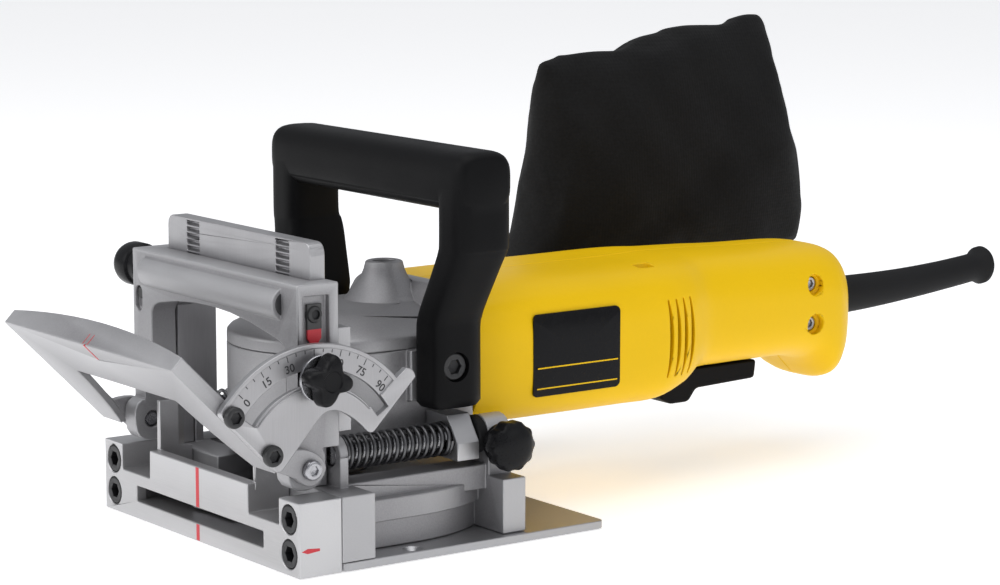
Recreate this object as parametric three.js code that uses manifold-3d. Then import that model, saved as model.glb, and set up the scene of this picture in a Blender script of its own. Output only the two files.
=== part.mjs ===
// Biscuit joiner: a plunging circular cutter for biscuit slots, with a tilting fence.
// Millimetres, +Z up, -Y towards the workpiece, +X to the tool's left.
// The functions below work from the nose face (y = 0); the last lines move the origin
// to the point of the sole's underside that lies below the resting spindle.
import * as THREE from "three";
import { mergeVertices } from "three/addons/utils/BufferGeometryUtils.js";
import Module from "manifold-3d";

// ---- driving dimensions ----
const HALF_WIDTH = 69; // half the width of the base
const SOLE_LENGTH = 131.7; // nose face to the rear edge of the sole plate
const SOLE_THICKNESS = 3;
const NOSE_DEPTH = 17.3; // thickness of the nose block
const EAR_TOP = 26.5; // top of the nose ears and of the base block
const SPINDLE_Y = 56; // spindle axis behind the nose face, cutter retracted
const PLUNGE = 25; // travel of the motor unit
const BLADE_RADIUS = 51;
const BLADE_Z = 9.5; // cutter's middle plane above the sole
const KERF = 4;
const ROD_X = 50; // guide rods
const ROD_Z = 37.5;
const ROD_RADIUS = 4;
const TOWER_Y = 88; // front of the rear towers that hold the rods
const MOTOR_Z = 61; // armature axis
const HOUSING_FRONT = 95.5;
const HOUSING_REAR = 298.5;
const PIVOT_Y = 10; // fence pivot
const PIVOT_Z = 35.8;
const FENCE_TILT = 45; // degrees from the upright fence
const FENCE_HALF_WIDTH = 61;
const FENCE_LENGTH = 67.2; // pivot to the fence's free end
const FENCE_FACE = -10; // working face, from the pivot
const SECTOR_RADIUS = 44.5;
const SLOT_RADIUS = 33; // middle of the sector's arc slot
const SHAFT_Y = 13.95; // height pinion shaft
const SHAFT_Z = 92;
const PINION_TEETH = 12;
const PINION_RADIUS = 4.5; // pitch radius
const RACK_X = 31;
const BAG_X = -70; // middle plane of the dust bag
const GAP = 0.3; // running and assembly clearance

// ---- materials ----
const finish = (color, roughness, metalness) =>
  new THREE.MeshStandardMaterial({ color, roughness, metalness });
const CAST = finish(0xa9a7a8, 0.55, 0.7);
const PLATE = finish(0xb6b4b5, 0.4, 0.85);
const STEEL = finish(0x8d8f92, 0.3, 0.95);
const BLACKED = finish(0x1c1c1e, 0.45, 0.6);
const BLACK = finish(0x18181a, 0.6, 0);
const YELLOW = finish(0xf2b705, 0.4, 0);
const CLOTH = finish(0x141416, 0.95, 0);
const RED = finish(0xc4202c, 0.5, 0);
const COPPER = finish(0xb06a3c, 0.4, 0.9);
const RUBBER = finish(0x202022, 0.8, 0);

// ---- solids ----
const wasm = await Module();
wasm.setup();

// A closed three.js geometry as a solid, with its faces turned outwards.
function solid(geometry) {
  const bare = geometry.index ? geometry.toNonIndexed() : geometry.clone();
  bare.deleteAttribute("normal");
  bare.deleteAttribute("uv");
  const merged = mergeVertices(bare, 1e-4);
  const triVerts = new Uint32Array(merged.index.array);
  const vertProperties = merged.attributes.position.array;
  const made = new wasm.Manifold(new wasm.Mesh({ numProp: 3, vertProperties, triVerts }));
  if (made.volume() > 0) return made;
  for (let i = 0; i < triVerts.length; i += 3) {
    [triVerts[i + 1], triVerts[i + 2]] = [triVerts[i + 2], triVerts[i + 1]];
  }
  return new wasm.Manifold(new wasm.Mesh({ numProp: 3, vertProperties, triVerts }));
}

const join = (first, ...others) => others.reduce((sum, next) => sum.add(next), first);
const cut = (first, ...others) => others.reduce((rest, next) => rest.subtract(next), first);

// Rotations that turn a shape's own plane into the plane across each axis:
// x: (y, z) drawn, y: (x, z) drawn, z: (x, y) drawn.
const TURN = {
  x: new THREE.Matrix4().makeBasis(
    new THREE.Vector3(0, 1, 0), new THREE.Vector3(0, 0, 1), new THREE.Vector3(1, 0, 0)),
  y: new THREE.Matrix4().makeBasis(
    new THREE.Vector3(1, 0, 0), new THREE.Vector3(0, 0, 1), new THREE.Vector3(0, -1, 0)),
  z: new THREE.Matrix4(),
};

// A flat outline extruded along an axis between two coordinates.
function prism(axis, shape, from, to, curveSegments = 5) {
  const geometry = new THREE.ExtrudeGeometry(shape, {
    depth: to - from, bevelEnabled: false, curveSegments,
  });
  geometry.translate(0, 0, axis === "y" ? -to : from);
  return solid(geometry.applyMatrix4(TURN[axis]));
}

function box(x0, x1, y0, y1, z0, z1) {
  const geometry = new THREE.BoxGeometry(x1 - x0, y1 - y0, z1 - z0);
  return solid(geometry.translate((x0 + x1) / 2, (y0 + y1) / 2, (z0 + z1) / 2));
}

// A solid of revolution about an axis through (u, v); the profile lists [radius, position].
function turned(axis, u, v, profile, sides = 18) {
  const points = profile.map(([r, h]) => new THREE.Vector2(r, h));
  const geometry = new THREE.LatheGeometry(points, sides);
  geometry.rotateX(Math.PI / 2); // the lathe's own axis becomes local z
  if (axis === "y") geometry.scale(1, 1, -1); // so that positions run towards +y
  return solid(geometry.translate(u, v, 0).applyMatrix4(TURN[axis]));
}

const rod = (axis, u, v, r, from, to, sides = 18) =>
  turned(axis, u, v, [[0, from], [r, from], [r, to], [0, to]], sides);

// A polygon whose corners are rounded by the given radius.
function rounded(points, radius) {
  const shape = new THREE.Shape();
  points.forEach(([x, y], i) => {
    const corner = new THREE.Vector2(x, y);
    const before = new THREE.Vector2(...points.at(i - 1)).sub(corner);
    const after = new THREE.Vector2(...points[(i + 1) % points.length]).sub(corner);
    const reach = Math.min(radius, before.length() / 2.1, after.length() / 2.1);
    const from = corner.clone().addScaledVector(before.normalize(), reach);
    const to = corner.clone().addScaledVector(after.normalize(), reach);
    if (i === 0) shape.moveTo(from.x, from.y);
    else shape.lineTo(from.x, from.y);
    shape.quadraticCurveTo(x, y, to.x, to.y);
  });
  return shape.closePath();
}

const polygon = (points) => new THREE.Shape(points.map(([x, y]) => new THREE.Vector2(x, y)));

function rectangle(x0, x1, y0, y1, radius) {
  return rounded([[x0, y0], [x1, y0], [x1, y1], [x0, y1]], radius);
}

// Rings of points, all of the same count, skinned into one closed solid.
function loft(rings) {
  const count = rings[0].length;
  const vertices = rings.flat();
  const faces = [];
  for (let r = 0; r + 1 < rings.length; r++) {
    for (let i = 0; i < count; i++) {
      const a = r * count + i;
      const b = r * count + (i + 1) % count;
      faces.push(a, b, b + count, a, b + count, a + count);
    }
  }
  for (const [start, turn] of [[0, false], [(rings.length - 1) * count, true]]) {
    const middle = vertices.length;
    const ring = vertices.slice(start, start + count);
    vertices.push(ring.reduce((sum, p) => sum.add(p), new THREE.Vector3()).divideScalar(count));
    for (let i = 0; i < count; i++) {
      const a = start + i;
      const b = start + (i + 1) % count;
      faces.push(middle, turn ? a : b, turn ? b : a);
    }
  }
  const geometry = new THREE.BufferGeometry().setFromPoints(vertices);
  return solid(geometry.setIndex(faces));
}

// Points of a superellipse ring: square makes it boxier, as a rounded rectangle.
function ring(centre, across, up, halfWidth, halfHeight, square, count) {
  return Array.from({ length: count }, (_, i) => {
    const a = ((i + 0.5) / count) * 2 * Math.PI;
    const c = Math.cos(a);
    const s = Math.sin(a);
    const w = Math.sign(c) * Math.abs(c) ** (2 / square) * halfWidth;
    const h = Math.sign(s) * Math.abs(s) ** (2 / square) * halfHeight;
    return centre.clone().addScaledVector(across, w).addScaledVector(up, h);
  });
}

const X = new THREE.Vector3(1, 0, 0);
const Y = new THREE.Vector3(0, 1, 0);
const Z = new THREE.Vector3(0, 0, 1);
const at = (x, y, z) => new THREE.Vector3(x, y, z);
const mirrored = (part) => part.mirror([1, 0, 0]);

const joiner = new THREE.Group();

function add(name, material, part, group = joiner) {
  const { numProp, vertProperties, triVerts } = part.getMesh();
  const geometry = new THREE.BufferGeometry();
  geometry.setAttribute("position", new THREE.BufferAttribute(vertProperties, numProp));
  geometry.setIndex(new THREE.BufferAttribute(triVerts, 1));
  geometry.computeVertexNormals();
  const mesh = new THREE.Mesh(geometry, material);
  mesh.name = name;
  group.add(mesh);
}

function addPair(name, material, left, group = joiner) {
  add(name + "_left", material, left, group);
  add(name + "_right", material, mirrored(left), group);
}

// A socket-head screw along an axis, its head's outer face at `face`, pointing to `tip`.
function socketScrew(axis, u, v, headRadius, headHeight, shankRadius, face, tip) {
  const inward = Math.sign(tip - face);
  const key = headRadius * 0.5;
  const profile = [
    [0, face + inward * headHeight * 0.6], [key, face + inward * headHeight * 0.6],
    [key, face], [headRadius, face], [headRadius, face + inward * headHeight],
    [shankRadius, face + inward * headHeight], [shankRadius, tip], [0, tip],
  ];
  return turned(axis, u, v, profile, 12);
}

// ---- base: what stays on the workpiece ----

const GUARD_RADIUS = 57.5;
const GUARD_TOP = 21;
const RAIL_TOP = 27.2;
const CASTING_BOTTOM = SOLE_THICKNESS + 0.2;
const CHIP_ANGLE = 23; // degrees from straight back to where the chips leave the guard
const PLUNGED_Y = SPINDLE_Y - PLUNGE;
const KNOB_AT = [92, 35]; // y and z of the depth selector

// Outline of everything within `reach` of the spindle over its whole travel.
function sweptOutline(reach, front) {
  const shape = new THREE.Shape();
  shape.moveTo(reach, front);
  shape.lineTo(reach, SPINDLE_Y);
  shape.absarc(0, SPINDLE_Y, reach, 0, Math.PI, false);
  shape.lineTo(-reach, front);
  return shape.closePath();
}

function solePlate() {
  const outline = rectangle(-HALF_WIDTH, HALF_WIDTH, NOSE_DEPTH + 0.2, SOLE_LENGTH, 3);
  let plate = prism("z", outline, 0, SOLE_THICKNESS, 3);
  for (const x of [-64, 64]) {
    const countersink = [[0, -1], [2.3, -1], [2.3, 1.2], [4.2, 3.1], [0, 3.1]];
    plate = cut(plate, turned("z", x, 50, countersink, 20));
  }
  return plate;
}

function baseCasting() {
  const block = box(-HALF_WIDTH, HALF_WIDTH, NOSE_DEPTH + 0.2, 31.2, CASTING_BOTTOM, EAR_TOP);
  const wall = prism("z", sweptOutline(GUARD_RADIUS, 30), CASTING_BOTTOM, 13.5, 24);
  const band = prism("z", sweptOutline(GUARD_RADIUS + 2, 30), 13, GUARD_TOP, 24);
  let casting = join(block, wall, band);
  for (const side of [-1, 1]) {
    const [inner, outer] = side > 0 ? [43, 57] : [-57, -43];
    const rail = box(side > 0 ? 43 : -55, side > 0 ? 55 : -43, 27, TOWER_Y + 1, 18, RAIL_TOP);
    const seat = box(inner, outer, 24.4, 28, 20, ROD_Z);
    const seatTop = rod("y", side * ROD_X, ROD_Z, 7, 24.4, 28);
    const tower = box(inner, outer, TOWER_Y, TOWER_Y + 10, CASTING_BOTTOM, ROD_Z);
    const towerTop = rod("y", side * ROD_X, ROD_Z, 7, TOWER_Y, TOWER_Y + 10);
    const foot = box(side > 0 ? 50 : -66, side > 0 ? 66 : -50,
      TOWER_Y, TOWER_Y + 10, CASTING_BOTTOM, 23.2);
    casting = join(casting, rail, seat, seatTop, tower, towerTop, foot);
  }
  const cavity = prism("z", sweptOutline(BLADE_RADIUS + 2.5, 0), 0, 16.5, 12);
  const neckWay = prism("z", sweptOutline(15, 17), 15, EAR_TOP + 1, 8);
  const chipWay = prism("z", rectangle(-13, 13, BLADE_RADIUS, 64, 1), CASTING_BOTTOM - 1, 17, 3)
    .rotate([0, 0, CHIP_ANGLE]).translate([0, SPINDLE_Y, 0]);
  casting = cut(casting, cavity, neckWay, chipWay);
  for (const side of [-1, 1]) {
    const rodWay = rod("y", side * ROD_X, ROD_Z, ROD_RADIUS + GAP, 24, TOWER_Y + 9);
    casting = cut(casting, rodWay);
    for (const z of [7.6, 19.8]) {
      casting = cut(casting, rod("y", side * 62, z, 3.3, 17, 28, 14));
    }
  }
  const knobWay = rod("x", ...KNOB_AT, 3.3, 54.9, 60, 16);
  return cut(casting, knobWay);
}

// The nose block is hollowed behind its raised middle; two cheeks close the hollow's sides.
function frontBlock() {
  const outline = polygon([
    [-HALF_WIDTH, 0], [HALF_WIDTH, 0], [HALF_WIDTH, EAR_TOP], [55.5, EAR_TOP], [55.5, 17],
    [35, 17], [34.7, 27.5], [-34.7, 27.5], [-35, 17], [-55.5, 17], [-55.5, EAR_TOP],
    [-HALF_WIDTH, EAR_TOP],
  ]);
  const slot = box(-45, 45, -1, NOSE_DEPTH + 1, BLADE_Z - 2.9, BLADE_Z + 2.9);
  const bladeWay = rod("z", 0, PLUNGED_Y, BLADE_RADIUS + 1.5, BLADE_Z - 2.9, BLADE_Z + 2.9, 48);
  const cheeks = [-34.8, 32.8].map((x) => box(x, x + 2, 3.4, NOSE_DEPTH, 20, 46));
  const hollow = box(-32.8, 32.8, 4.8, NOSE_DEPTH + 1, 15, 47);
  const headWay = rod("z", 0, PLUNGED_Y, 38.4, 28.2, 47, 48);
  let block = cut(join(prism("y", outline, 0, NOSE_DEPTH), ...cheeks),
    slot, bladeWay, hollow, headWay);
  for (const x of [-62, 62]) {
    for (const z of [7.6, 19.8]) {
      block = cut(block, rod("y", x, z, 5.3, -1, 6.4, 20), rod("y", x, z, 3.3, 6, 18, 14));
    }
  }
  return block;
}

function railUpright() {
  const shape = new THREE.Shape();
  shape.moveTo(49.35, EAR_TOP + 0.2);
  shape.lineTo(49.35, 108);
  shape.quadraticCurveTo(49.35, 112.6, 44.75, 112.6);
  shape.lineTo(-44.75, 112.6);
  shape.quadraticCurveTo(-49.35, 112.6, -49.35, 108);
  shape.lineTo(-49.35, EAR_TOP + 0.2);
  shape.lineTo(-43, EAR_TOP + 0.2);
  shape.lineTo(-43, 79);
  shape.quadraticCurveTo(-30, 86.5, 0, 87);
  shape.quadraticCurveTo(30, 86.5, 43, 79);
  shape.lineTo(43, EAR_TOP + 0.2);
  let plate = prism("y", shape.closePath(), 17.7, 23.7, 5);
  const pitch = (2 * Math.PI * PINION_RADIUS) / PINION_TEETH;
  for (let tooth = -4; tooth <= 8; tooth++) {
    const z = SHAFT_Z + tooth * pitch;
    const groove = polygon([
      [17.2, z - 1.04], [17.2, z + 1.04], [19.5, z + 0.28], [19.5, z - 0.28],
    ]);
    for (const x of [-RACK_X, RACK_X]) {
      plate = cut(plate, prism("x", groove, x - 4.5, x + 4.5));
    }
  }
  // stiffening flanges behind both legs, above the rod seats
  return join(plate, box(43, 49.35, 23, 34, 45, 82), box(-49.35, -43, 23, 34, 45, 82));
}

// A helix about a line along +Y.
class Helix extends THREE.Curve {
  constructor(x, z, radius, from, to, turns) {
    super();
    Object.assign(this, { x, z, radius, from, to, turns });
  }

  getPoint(t) {
    const angle = t * this.turns * 2 * Math.PI;
    return at(
      this.x + this.radius * Math.cos(angle),
      this.from + (this.to - this.from) * t,
      this.z + this.radius * Math.sin(angle),
    );
  }
}

function plungeSpring() {
  const wire = new THREE.Shape();
  wire.absarc(0, 0, 0.65, 0, 2 * Math.PI, false);
  const turns = 13;
  const path = new Helix(ROD_X, ROD_Z, 5.6, 29, 73, turns);
  const geometry = new THREE.ExtrudeGeometry(wire, {
    steps: turns * 8, bevelEnabled: false, extrudePath: path, curveSegments: 2,
  });
  return solid(geometry);
}

// Depth selector: a fluted, domed knob on a short shaft in the left tower.
function depthKnob() {
  const outline = new THREE.Shape();
  const lobes = 10;
  const points = Array.from({ length: lobes * 4 }, (_, i) => {
    const a = (i / (lobes * 4)) * 2 * Math.PI;
    const r = 8.9 + 0.35 * Math.cos(lobes * a);
    return new THREE.Vector2(KNOB_AT[0] + r * Math.cos(a), KNOB_AT[1] + r * Math.sin(a));
  });
  outline.setFromPoints(points);
  const grip = prism("x", outline, 61.5, 67.6);
  const dome = turned("x", ...KNOB_AT, [[0, 67], [8.3, 67], [8.3, 67.8], [6.8, 69], [4, 69.8],
    [0, 70.1]], 20);
  const collar = rod("x", ...KNOB_AT, 7, 57.4, 61.6, 20);
  const shaft = rod("x", ...KNOB_AT, 3, 55.2, 58, 16);
  return join(grip, dome, collar, shaft);
}

function makeBase() {
  add("sole_plate", PLATE, solePlate());
  add("base_casting", CAST, baseCasting());
  add("front_block", CAST, frontBlock());
  add("rail_upright", PLATE, railUpright());
  for (const [level, z] of [["lower", 7.6], ["upper", 19.8]]) {
    const screw = socketScrew("y", 62, z, 5, 6, 3, 0.1, 27);
    addPair("nose_screw_" + level, BLACKED, screw);
  }
  addPair("guide_rod", STEEL, rod("y", ROD_X, ROD_Z, ROD_RADIUS, 24.6, TOWER_Y + 8.6));
  addPair("plunge_spring", STEEL, plungeSpring());
  add("depth_knob", BLACK, depthKnob());
}

// ---- dust outlet and bag, on the right of the base ----

const DUCT = [
  // middle of the duct, half width, half height, squareness
  [at(-21.7, 107.1, 10), 12.7, 6.6, 6],
  [at(-26.2, 117.5, 10.1), 12.7, 6.6, 5],
  [at(-36, 131, 14.2), 13, 9.2, 3.5],
  [at(-51, 147, 21.5), 14, 12, 2.5],
  [at(-62, 166, 29.5), 15, 14.5, 2.1],
  [at(-68, 184, 39.5), 15.5, 15.5, 2],
  [at(BAG_X, 196, 52), 15.5, 15.5, 2],
];

// The duct's middle, its direction there, and two directions across it.
function ductFrame(i) {
  const before = DUCT[Math.max(i - 1, 0)][0];
  const after = DUCT[Math.min(i + 1, DUCT.length - 1)][0];
  const along = after.clone().sub(before).setZ(i === 0 ? 0 : after.z - before.z).normalize();
  const across = along.clone().cross(Z).normalize();
  return { along, across, up: across.clone().cross(along).normalize() };
}

function ductLoft(wall, stretch) {
  const last = DUCT.length - 1;
  return loft(DUCT.map(([centre, halfWidth, halfHeight, square], i) => {
    const { along, across, up } = ductFrame(i);
    const end = i === 0 ? -stretch : i === last ? stretch : 0;
    const middle = centre.clone().addScaledVector(along, end);
    return ring(middle, across, up, halfWidth - wall, halfHeight - wall, square, 16);
  }));
}

// A round ring about the duct mouth's axis, at a distance beyond the mouth.
function mouthRing(radius, distance, count = 20) {
  const { along, across, up } = ductFrame(DUCT.length - 1);
  const middle = DUCT.at(-1)[0].clone().addScaledVector(along, distance);
  return ring(middle, across, up.negate(), radius, radius, 2, count);
}

const mouthPlug = (radius, from, to) => loft([mouthRing(radius, from), mouthRing(radius, to)]);

// The bag hangs full: [height, front, rear, half thickness] of its level sections.
const BAG_LEVELS = [
  [76, 190, 338, 18],
  [85, 193, 341, 20],
  [97, 197, 342, 21],
  [113, 200, 340, 21],
  [129, 203, 335, 20],
  [147, 205, 330, 17],
  [157, 208, 328, 13],
  [164, 216, 327, 8],
  [173, 268, 329, 3],
];

function dustBag() {
  const neck = [1, 11].map((distance) => mouthRing(20, distance, 18));
  const levels = BAG_LEVELS.map(([z, front, rear, thickness]) =>
    ring(at(BAG_X, (front + rear) / 2, z), X, Y, thickness, (rear - front) / 2, 3, 18));
  return cut(loft([...neck, ...levels]), mouthPlug(18.6, -9, 9.4));
}

function makeDustBag() {
  add("dust_spout", BLACK, cut(ductLoft(0, 0), ductLoft(2, 1)));
  add("bag_collar", BLACK, cut(mouthPlug(18.2, -8, 9), mouthPlug(15.8, -9, 10)));
  add("dust_bag", CLOTH, dustBag());
}

// ---- motor unit: slides on the rods ----

const CASE_BOTTOM = 29;
const CASE_TOP = 68.6;
const CASE_REAR = 95.2;
const BOSS_Y = 81; // spindle-lock button
// Crown of the gear case's cover and the hollow under it: [half width, height].
const CROWN = [[37, CASE_TOP + 0.2], [37, 72.8], [35.8, 74.2], [30, 77], [22, 79.8], [15, 81.5]];
const UNDER_CROWN = [[34.6, CASE_TOP - 1], [34.9, 71.2], [28, 74.2], [20, 76.8], [13, 78.4]];

// Gear head seen from above: round at the front, straight at the sides.
function caseOutline(half, rear) {
  const shape = new THREE.Shape();
  shape.moveTo(half, rear);
  shape.lineTo(half, SPINDLE_Y);
  shape.absarc(0, SPINDLE_Y, half, 0, Math.PI, true);
  shape.lineTo(-half, rear);
  return shape.closePath();
}

function crownLoft(levels, rear) {
  return loft(levels.map(([half, z]) => {
    const front = Array.from({ length: 21 }, (_, i) => {
      const a = Math.PI + (i / 20) * Math.PI;
      return at(half * Math.cos(a), SPINDLE_Y + half * Math.sin(a), z);
    });
    return [...front, at(half, rear, z), at(-half, rear, z)];
  }));
}

// Bore for the motor's front bearing, half in the gear case and half in its cover.
const motorBore = () => rod("y", 0, MOTOR_Z, 12.6, 84, CASE_REAR + 2);

function gearCase() {
  const body = prism("z", caseOutline(37, CASE_REAR), CASE_BOTTOM, CASE_TOP, 20);
  const neck = rod("z", 0, SPINDLE_Y, 13, 19, 30);
  const pads = [-1, 1].map((side) =>
    box(side > 0 ? 36 : -39.6, side > 0 ? 39.6 : -36, 66, 84, 50, CASE_TOP - 0.2));
  const room = prism("z", caseOutline(32, CASE_REAR - 9), 34, CASE_TOP + 1, 9);
  const bore = rod("z", 0, SPINDLE_Y, 5.6, 15, 40);
  const bearingSeat = rod("z", 0, SPINDLE_Y, 13.3, 30.8, 40);
  const screws = [-1, 1].map((side) =>
    rod("x", 75, 64, 2.8, side > 0 ? 30 : -41, side > 0 ? 41 : -30, 14));
  return cut(join(body, neck, ...pads), room, bore, bearingSeat, motorBore(), ...screws);
}

function gearCover() {
  const cone = [[0, 77], [17, 77], [16, 80.8], [13.6, 83.2], [11.2, 86], [9, 89.2], [7.7, 92.2],
    [7, 95], [6.5, 95.6], [0, 95.6]];
  const hump = prism("y", rounded([[-31, 73], [-27, 88.4], [27, 88.4], [31, 73]], 7),
    83, CASE_REAR, 4);
  const slope = prism("x", polygon([[83, 70], [83, 77], [86, 85.5], [89, 89], [97, 89],
    [97, 70]]), -32, 32);
  const seat = rod("z", 0, SPINDLE_Y, 12, 67, 80);
  const seatBore = rod("z", 0, SPINDLE_Y, 9.3, 66, 73.8);
  const buttonWay = rod("z", 0, BOSS_Y, 4.4, 60, 96, 20);
  const shell = cut(
    join(crownLoft(CROWN, CASE_REAR), turned("z", 0, BOSS_Y, cone, 28), hump.intersect(slope)),
    crownLoft(UNDER_CROWN, CASE_REAR - 2.6));
  return cut(join(shell, seat), seatBore, buttonWay, motorBore());
}

function slideLug() {
  const outline = polygon([[37.4, 30], [57.5, 30], [57.5, 36.4], [50.8, 46], [37.4, 46]]);
  const block = prism("y", outline, 74, 83.5);
  return cut(block, rod("y", ROD_X, ROD_Z, ROD_RADIUS + 0.4, 73, 85));
}

// Level sections of the handle's left leg: [z, x, y, half width in x, half depth in y, flare];
// flare is how much deeper its rear runs on the side towards the motor.
const HANDLE_LEG = [
  [49, 47.8, 75.9, 7.9, 9.9, 1],
  [77, 47.8, 75.9, 7.9, 9.9, 1],
  [81, 48.2, 76.3, 7.9, 10, 1],
  [85, 49.3, 77, 8, 10.2, 0.9],
  [101, 54.2, 81, 8.3, 11.2, 0.35],
  [105, 55.4, 82, 8.5, 11.6, 0.15],
  [109, 56, 82.3, 8.6, 11.8, 0],
  [128, 56, 82.3, 8.6, 11.8, 0],
];
const HANDLE_BAR = { y: 82.3, z: 130.5, halfDepth: 11.8, halfHeight: 11 };
// How the bar's section shrinks towards its end: [x, scale].
const HANDLE_END = [[58.4, 1], [61.4, 0.97], [63.8, 0.86], [64.8, 0.7]];

function legSection([z, x, y, halfX, halfY, flare]) {
  return ring(at(x, y, z), X, Y, halfX, halfY, 4, 16).map((p) => {
    const deeper = p.y > y ? 1 + (flare * (1 - (p.x - x) / halfX)) / 2 : 1;
    return p.setY(y + (p.y - y) * deeper);
  });
}

function handle() {
  const left = loft(HANDLE_LEG.map(legSection));
  const { y, z, halfDepth, halfHeight } = HANDLE_BAR;
  const ends = [...HANDLE_END.map(([x, scale]) => [-x, scale]).reverse(), ...HANDLE_END];
  const bar = loft(ends.map(([x, scale]) =>
    ring(at(x, y, z), Y, Z, halfDepth * scale, halfHeight * scale, 3.4, 20)));
  const screwWays = [-1, 1].flatMap((side) => [
    rod("x", 75, 64, 2.8, side > 0 ? 38 : -60, side > 0 ? 60 : -38, 14),
    rod("x", 75, 64, 5.4, side > 0 ? 51.2 : -60, side > 0 ? 60 : -51.2, 18),
  ]);
  return cut(join(bar, left, mirrored(left)), ...screwWays);
}

// Motor housing from front to rear: [y, bottom, top, half width, squareness].
const HOUSING = [
  [HOUSING_FRONT, 35.2, 87.6, 39.5, 4],
  [108, 34.2, 88.3, 41, 4],
  [186, 34, 88.5, 41, 4],
  [200, 37.3, 89, 37.5, 3.6],
  [211, 42, 88.8, 32.6, 3.2],
  [247, 42.4, 87.4, 31.5, 3],
  [264, 42, 87, 31, 3],
  [274, 39.5, 86.8, 30.6, 3],
  [281, 32.5, 86.4, 30, 3],
  [286, 30, 85.8, 29, 3],
  [291, 32, 84.6, 26.5, 2.9],
  [295, 41, 81, 21, 2.6],
  [HOUSING_REAR, 54, 71, 10, 2],
];

const SCREW_Y = 267.5; // screws that join the housing's halves
const SCREW_HEIGHTS = [73, 57];

function housingLoft(wall) {
  return loft(HOUSING.map(([y, bottom, top, halfWidth, square], i) => {
    const last = HOUSING.length - 1;
    const shift = wall === 0 ? 0 : i === 0 ? -2 : i === last ? -3 : 0;
    const inset = i === last ? Math.min(wall, 4) : wall;
    const halfHeight = (top - bottom) / 2;
    return ring(at(0, y + shift, (top + bottom) / 2), X, Z,
      halfWidth - inset, halfHeight - inset, square, 24);
  }));
}

function housing() {
  const paddleWay = box(-13, 13, 201, 254, 20, 47);
  const cordWay = rod("y", 0, 61.5, 6.4, HOUSING_REAR - 11, HOUSING_REAR + 4, 20);
  let shell = cut(housingLoft(0), housingLoft(2.6), paddleWay, cordWay);
  for (let slot = 0; slot < 4; slot++) {
    const y = 184 + slot * 4.2;
    shell = cut(shell, box(-50, 50, y, y + 2, 46, 76));
  }
  return shell;
}

// One half of the housing, with the posts that its two screws join.
function screwedHalf(shell, outer, side) {
  const keep = side > 0 ? box(0.15, 60, 90, 320, 0, 110) : box(-60, -0.15, 90, 320, 0, 110);
  const posts = SCREW_HEIGHTS.map((z) =>
    rod("x", SCREW_Y, z, 5.4, side > 0 ? 0.15 : -29, side > 0 ? 29 : -0.15, 16).intersect(outer));
  const bores = SCREW_HEIGHTS.flatMap((z) => side > 0
    ? [rod("x", SCREW_Y, z, 1.9, -1, 40, 12), rod("x", SCREW_Y, z, 3.1, 24, 40, 16),
      rod("x", SCREW_Y, z, 4.1, 27, 40, 18)]
    : [rod("x", SCREW_Y, z, 1.9, -14, 1, 12)]);
  return cut(join(shell.intersect(keep), ...posts), ...bores);
}

function labelPlate() {
  const outline = rectangle(119.5, 160, 45.5, 76.5, 2);
  return prism("x", outline, 41.3, 41.9, 3);
}

function cordProtector() {
  // [distance from the housing, radius]
  const stations = [[-9, 6], [-6, 6], [0.8, 6], [1, 8], [22, 7.4], [44, 6.7], [66, 6.2],
    [85, 6], [87, 8], [90.5, 8]];
  const middle = (d) => at(0, HOUSING_REAR + d, 61.5 + 0.0007 * Math.max(d, 0) ** 2);
  const skin = stations.map(([d, r]) => ring(middle(d), X, Z, r, r, 2, 16));
  const bore = [-10, 22, 44, 66, 91.5].map((d) => ring(middle(d), X, Z, 3.6, 3.6, 2, 10));
  return cut(loft(skin), loft(bore));
}

function bearing(axis, u, v, outer, inner, from, to) {
  return turned(axis, u, v,
    [[inner, from], [outer, from], [outer, to], [inner, to], [inner, from]], 16);
}

function stator() {
  const outline = rectangle(-31, 31, MOTOR_Z - 23.6, MOTOR_Z + 23.6, 15);
  const pack = prism("y", outline, 122, 164, 4);
  return cut(pack, rod("y", 0, MOTOR_Z, 23, 120, 166));
}

// A ring inside the housing that holds both carbon brushes against the commutator.
function brushRing() {
  const carrier = bearing("y", 0, MOTOR_Z, 24, 19, 172, 181);
  const boxes = [-1, 1].map((side) => box(
    side > 0 ? 12.2 : -22, side > 0 ? 22 : -12.2, 173, 180, MOTOR_Z - 4, MOTOR_Z + 4));
  return join(carrier, ...boxes);
}

function switchBody() {
  return join(box(-9, 9, 214, 252, 50, 76), rod("z", 0, 222, 2.2, 48, 51, 12));
}

function makeMotorUnit() {
  add("gear_case", CAST, gearCase());
  add("gear_cover", CAST, gearCover());
  addPair("slide_lug", PLATE, slideLug());
  add("handle", BLACK, handle());
  addPair("handle_screw", BLACKED, socketScrew("x", 75, 64, 5, 3, 2.5, 54.4, 32));
  const shell = housing();
  add("housing_left", YELLOW, screwedHalf(shell, housingLoft(0), 1));
  add("housing_right", YELLOW, screwedHalf(shell, housingLoft(0), -1));
  for (const [i, place] of ["upper", "lower"].entries()) {
    const screw = socketScrew("x", SCREW_Y, SCREW_HEIGHTS[i], 2.8, 2.2, 1.6, 26.6, -11);
    add("housing_screw_" + place, STEEL, screw);
  }
  add("label_plate", BLACK, labelPlate());
  add("cord_protector", RUBBER, cordProtector());
  add("stator", STEEL, stator());
  add("brush_ring", BLACKED, brushRing());
  add("switch_body", BLACK, switchBody());
  add("spindle_bearing_lower", STEEL, bearing("z", 0, SPINDLE_Y, 13, 6.1, 31, 38.6));
  add("spindle_bearing_upper", STEEL, bearing("z", 0, SPINDLE_Y, 9, 4.2, 67.4, 73.4));
  add("motor_bearing_front", STEEL, bearing("y", 0, MOTOR_Z, 12.3, 5.2, 87.4, 94.8));
  add("motor_bearing_rear", STEEL, bearing("y", 0, MOTOR_Z, 9.5, 4.2, 190, 196));
}

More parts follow.
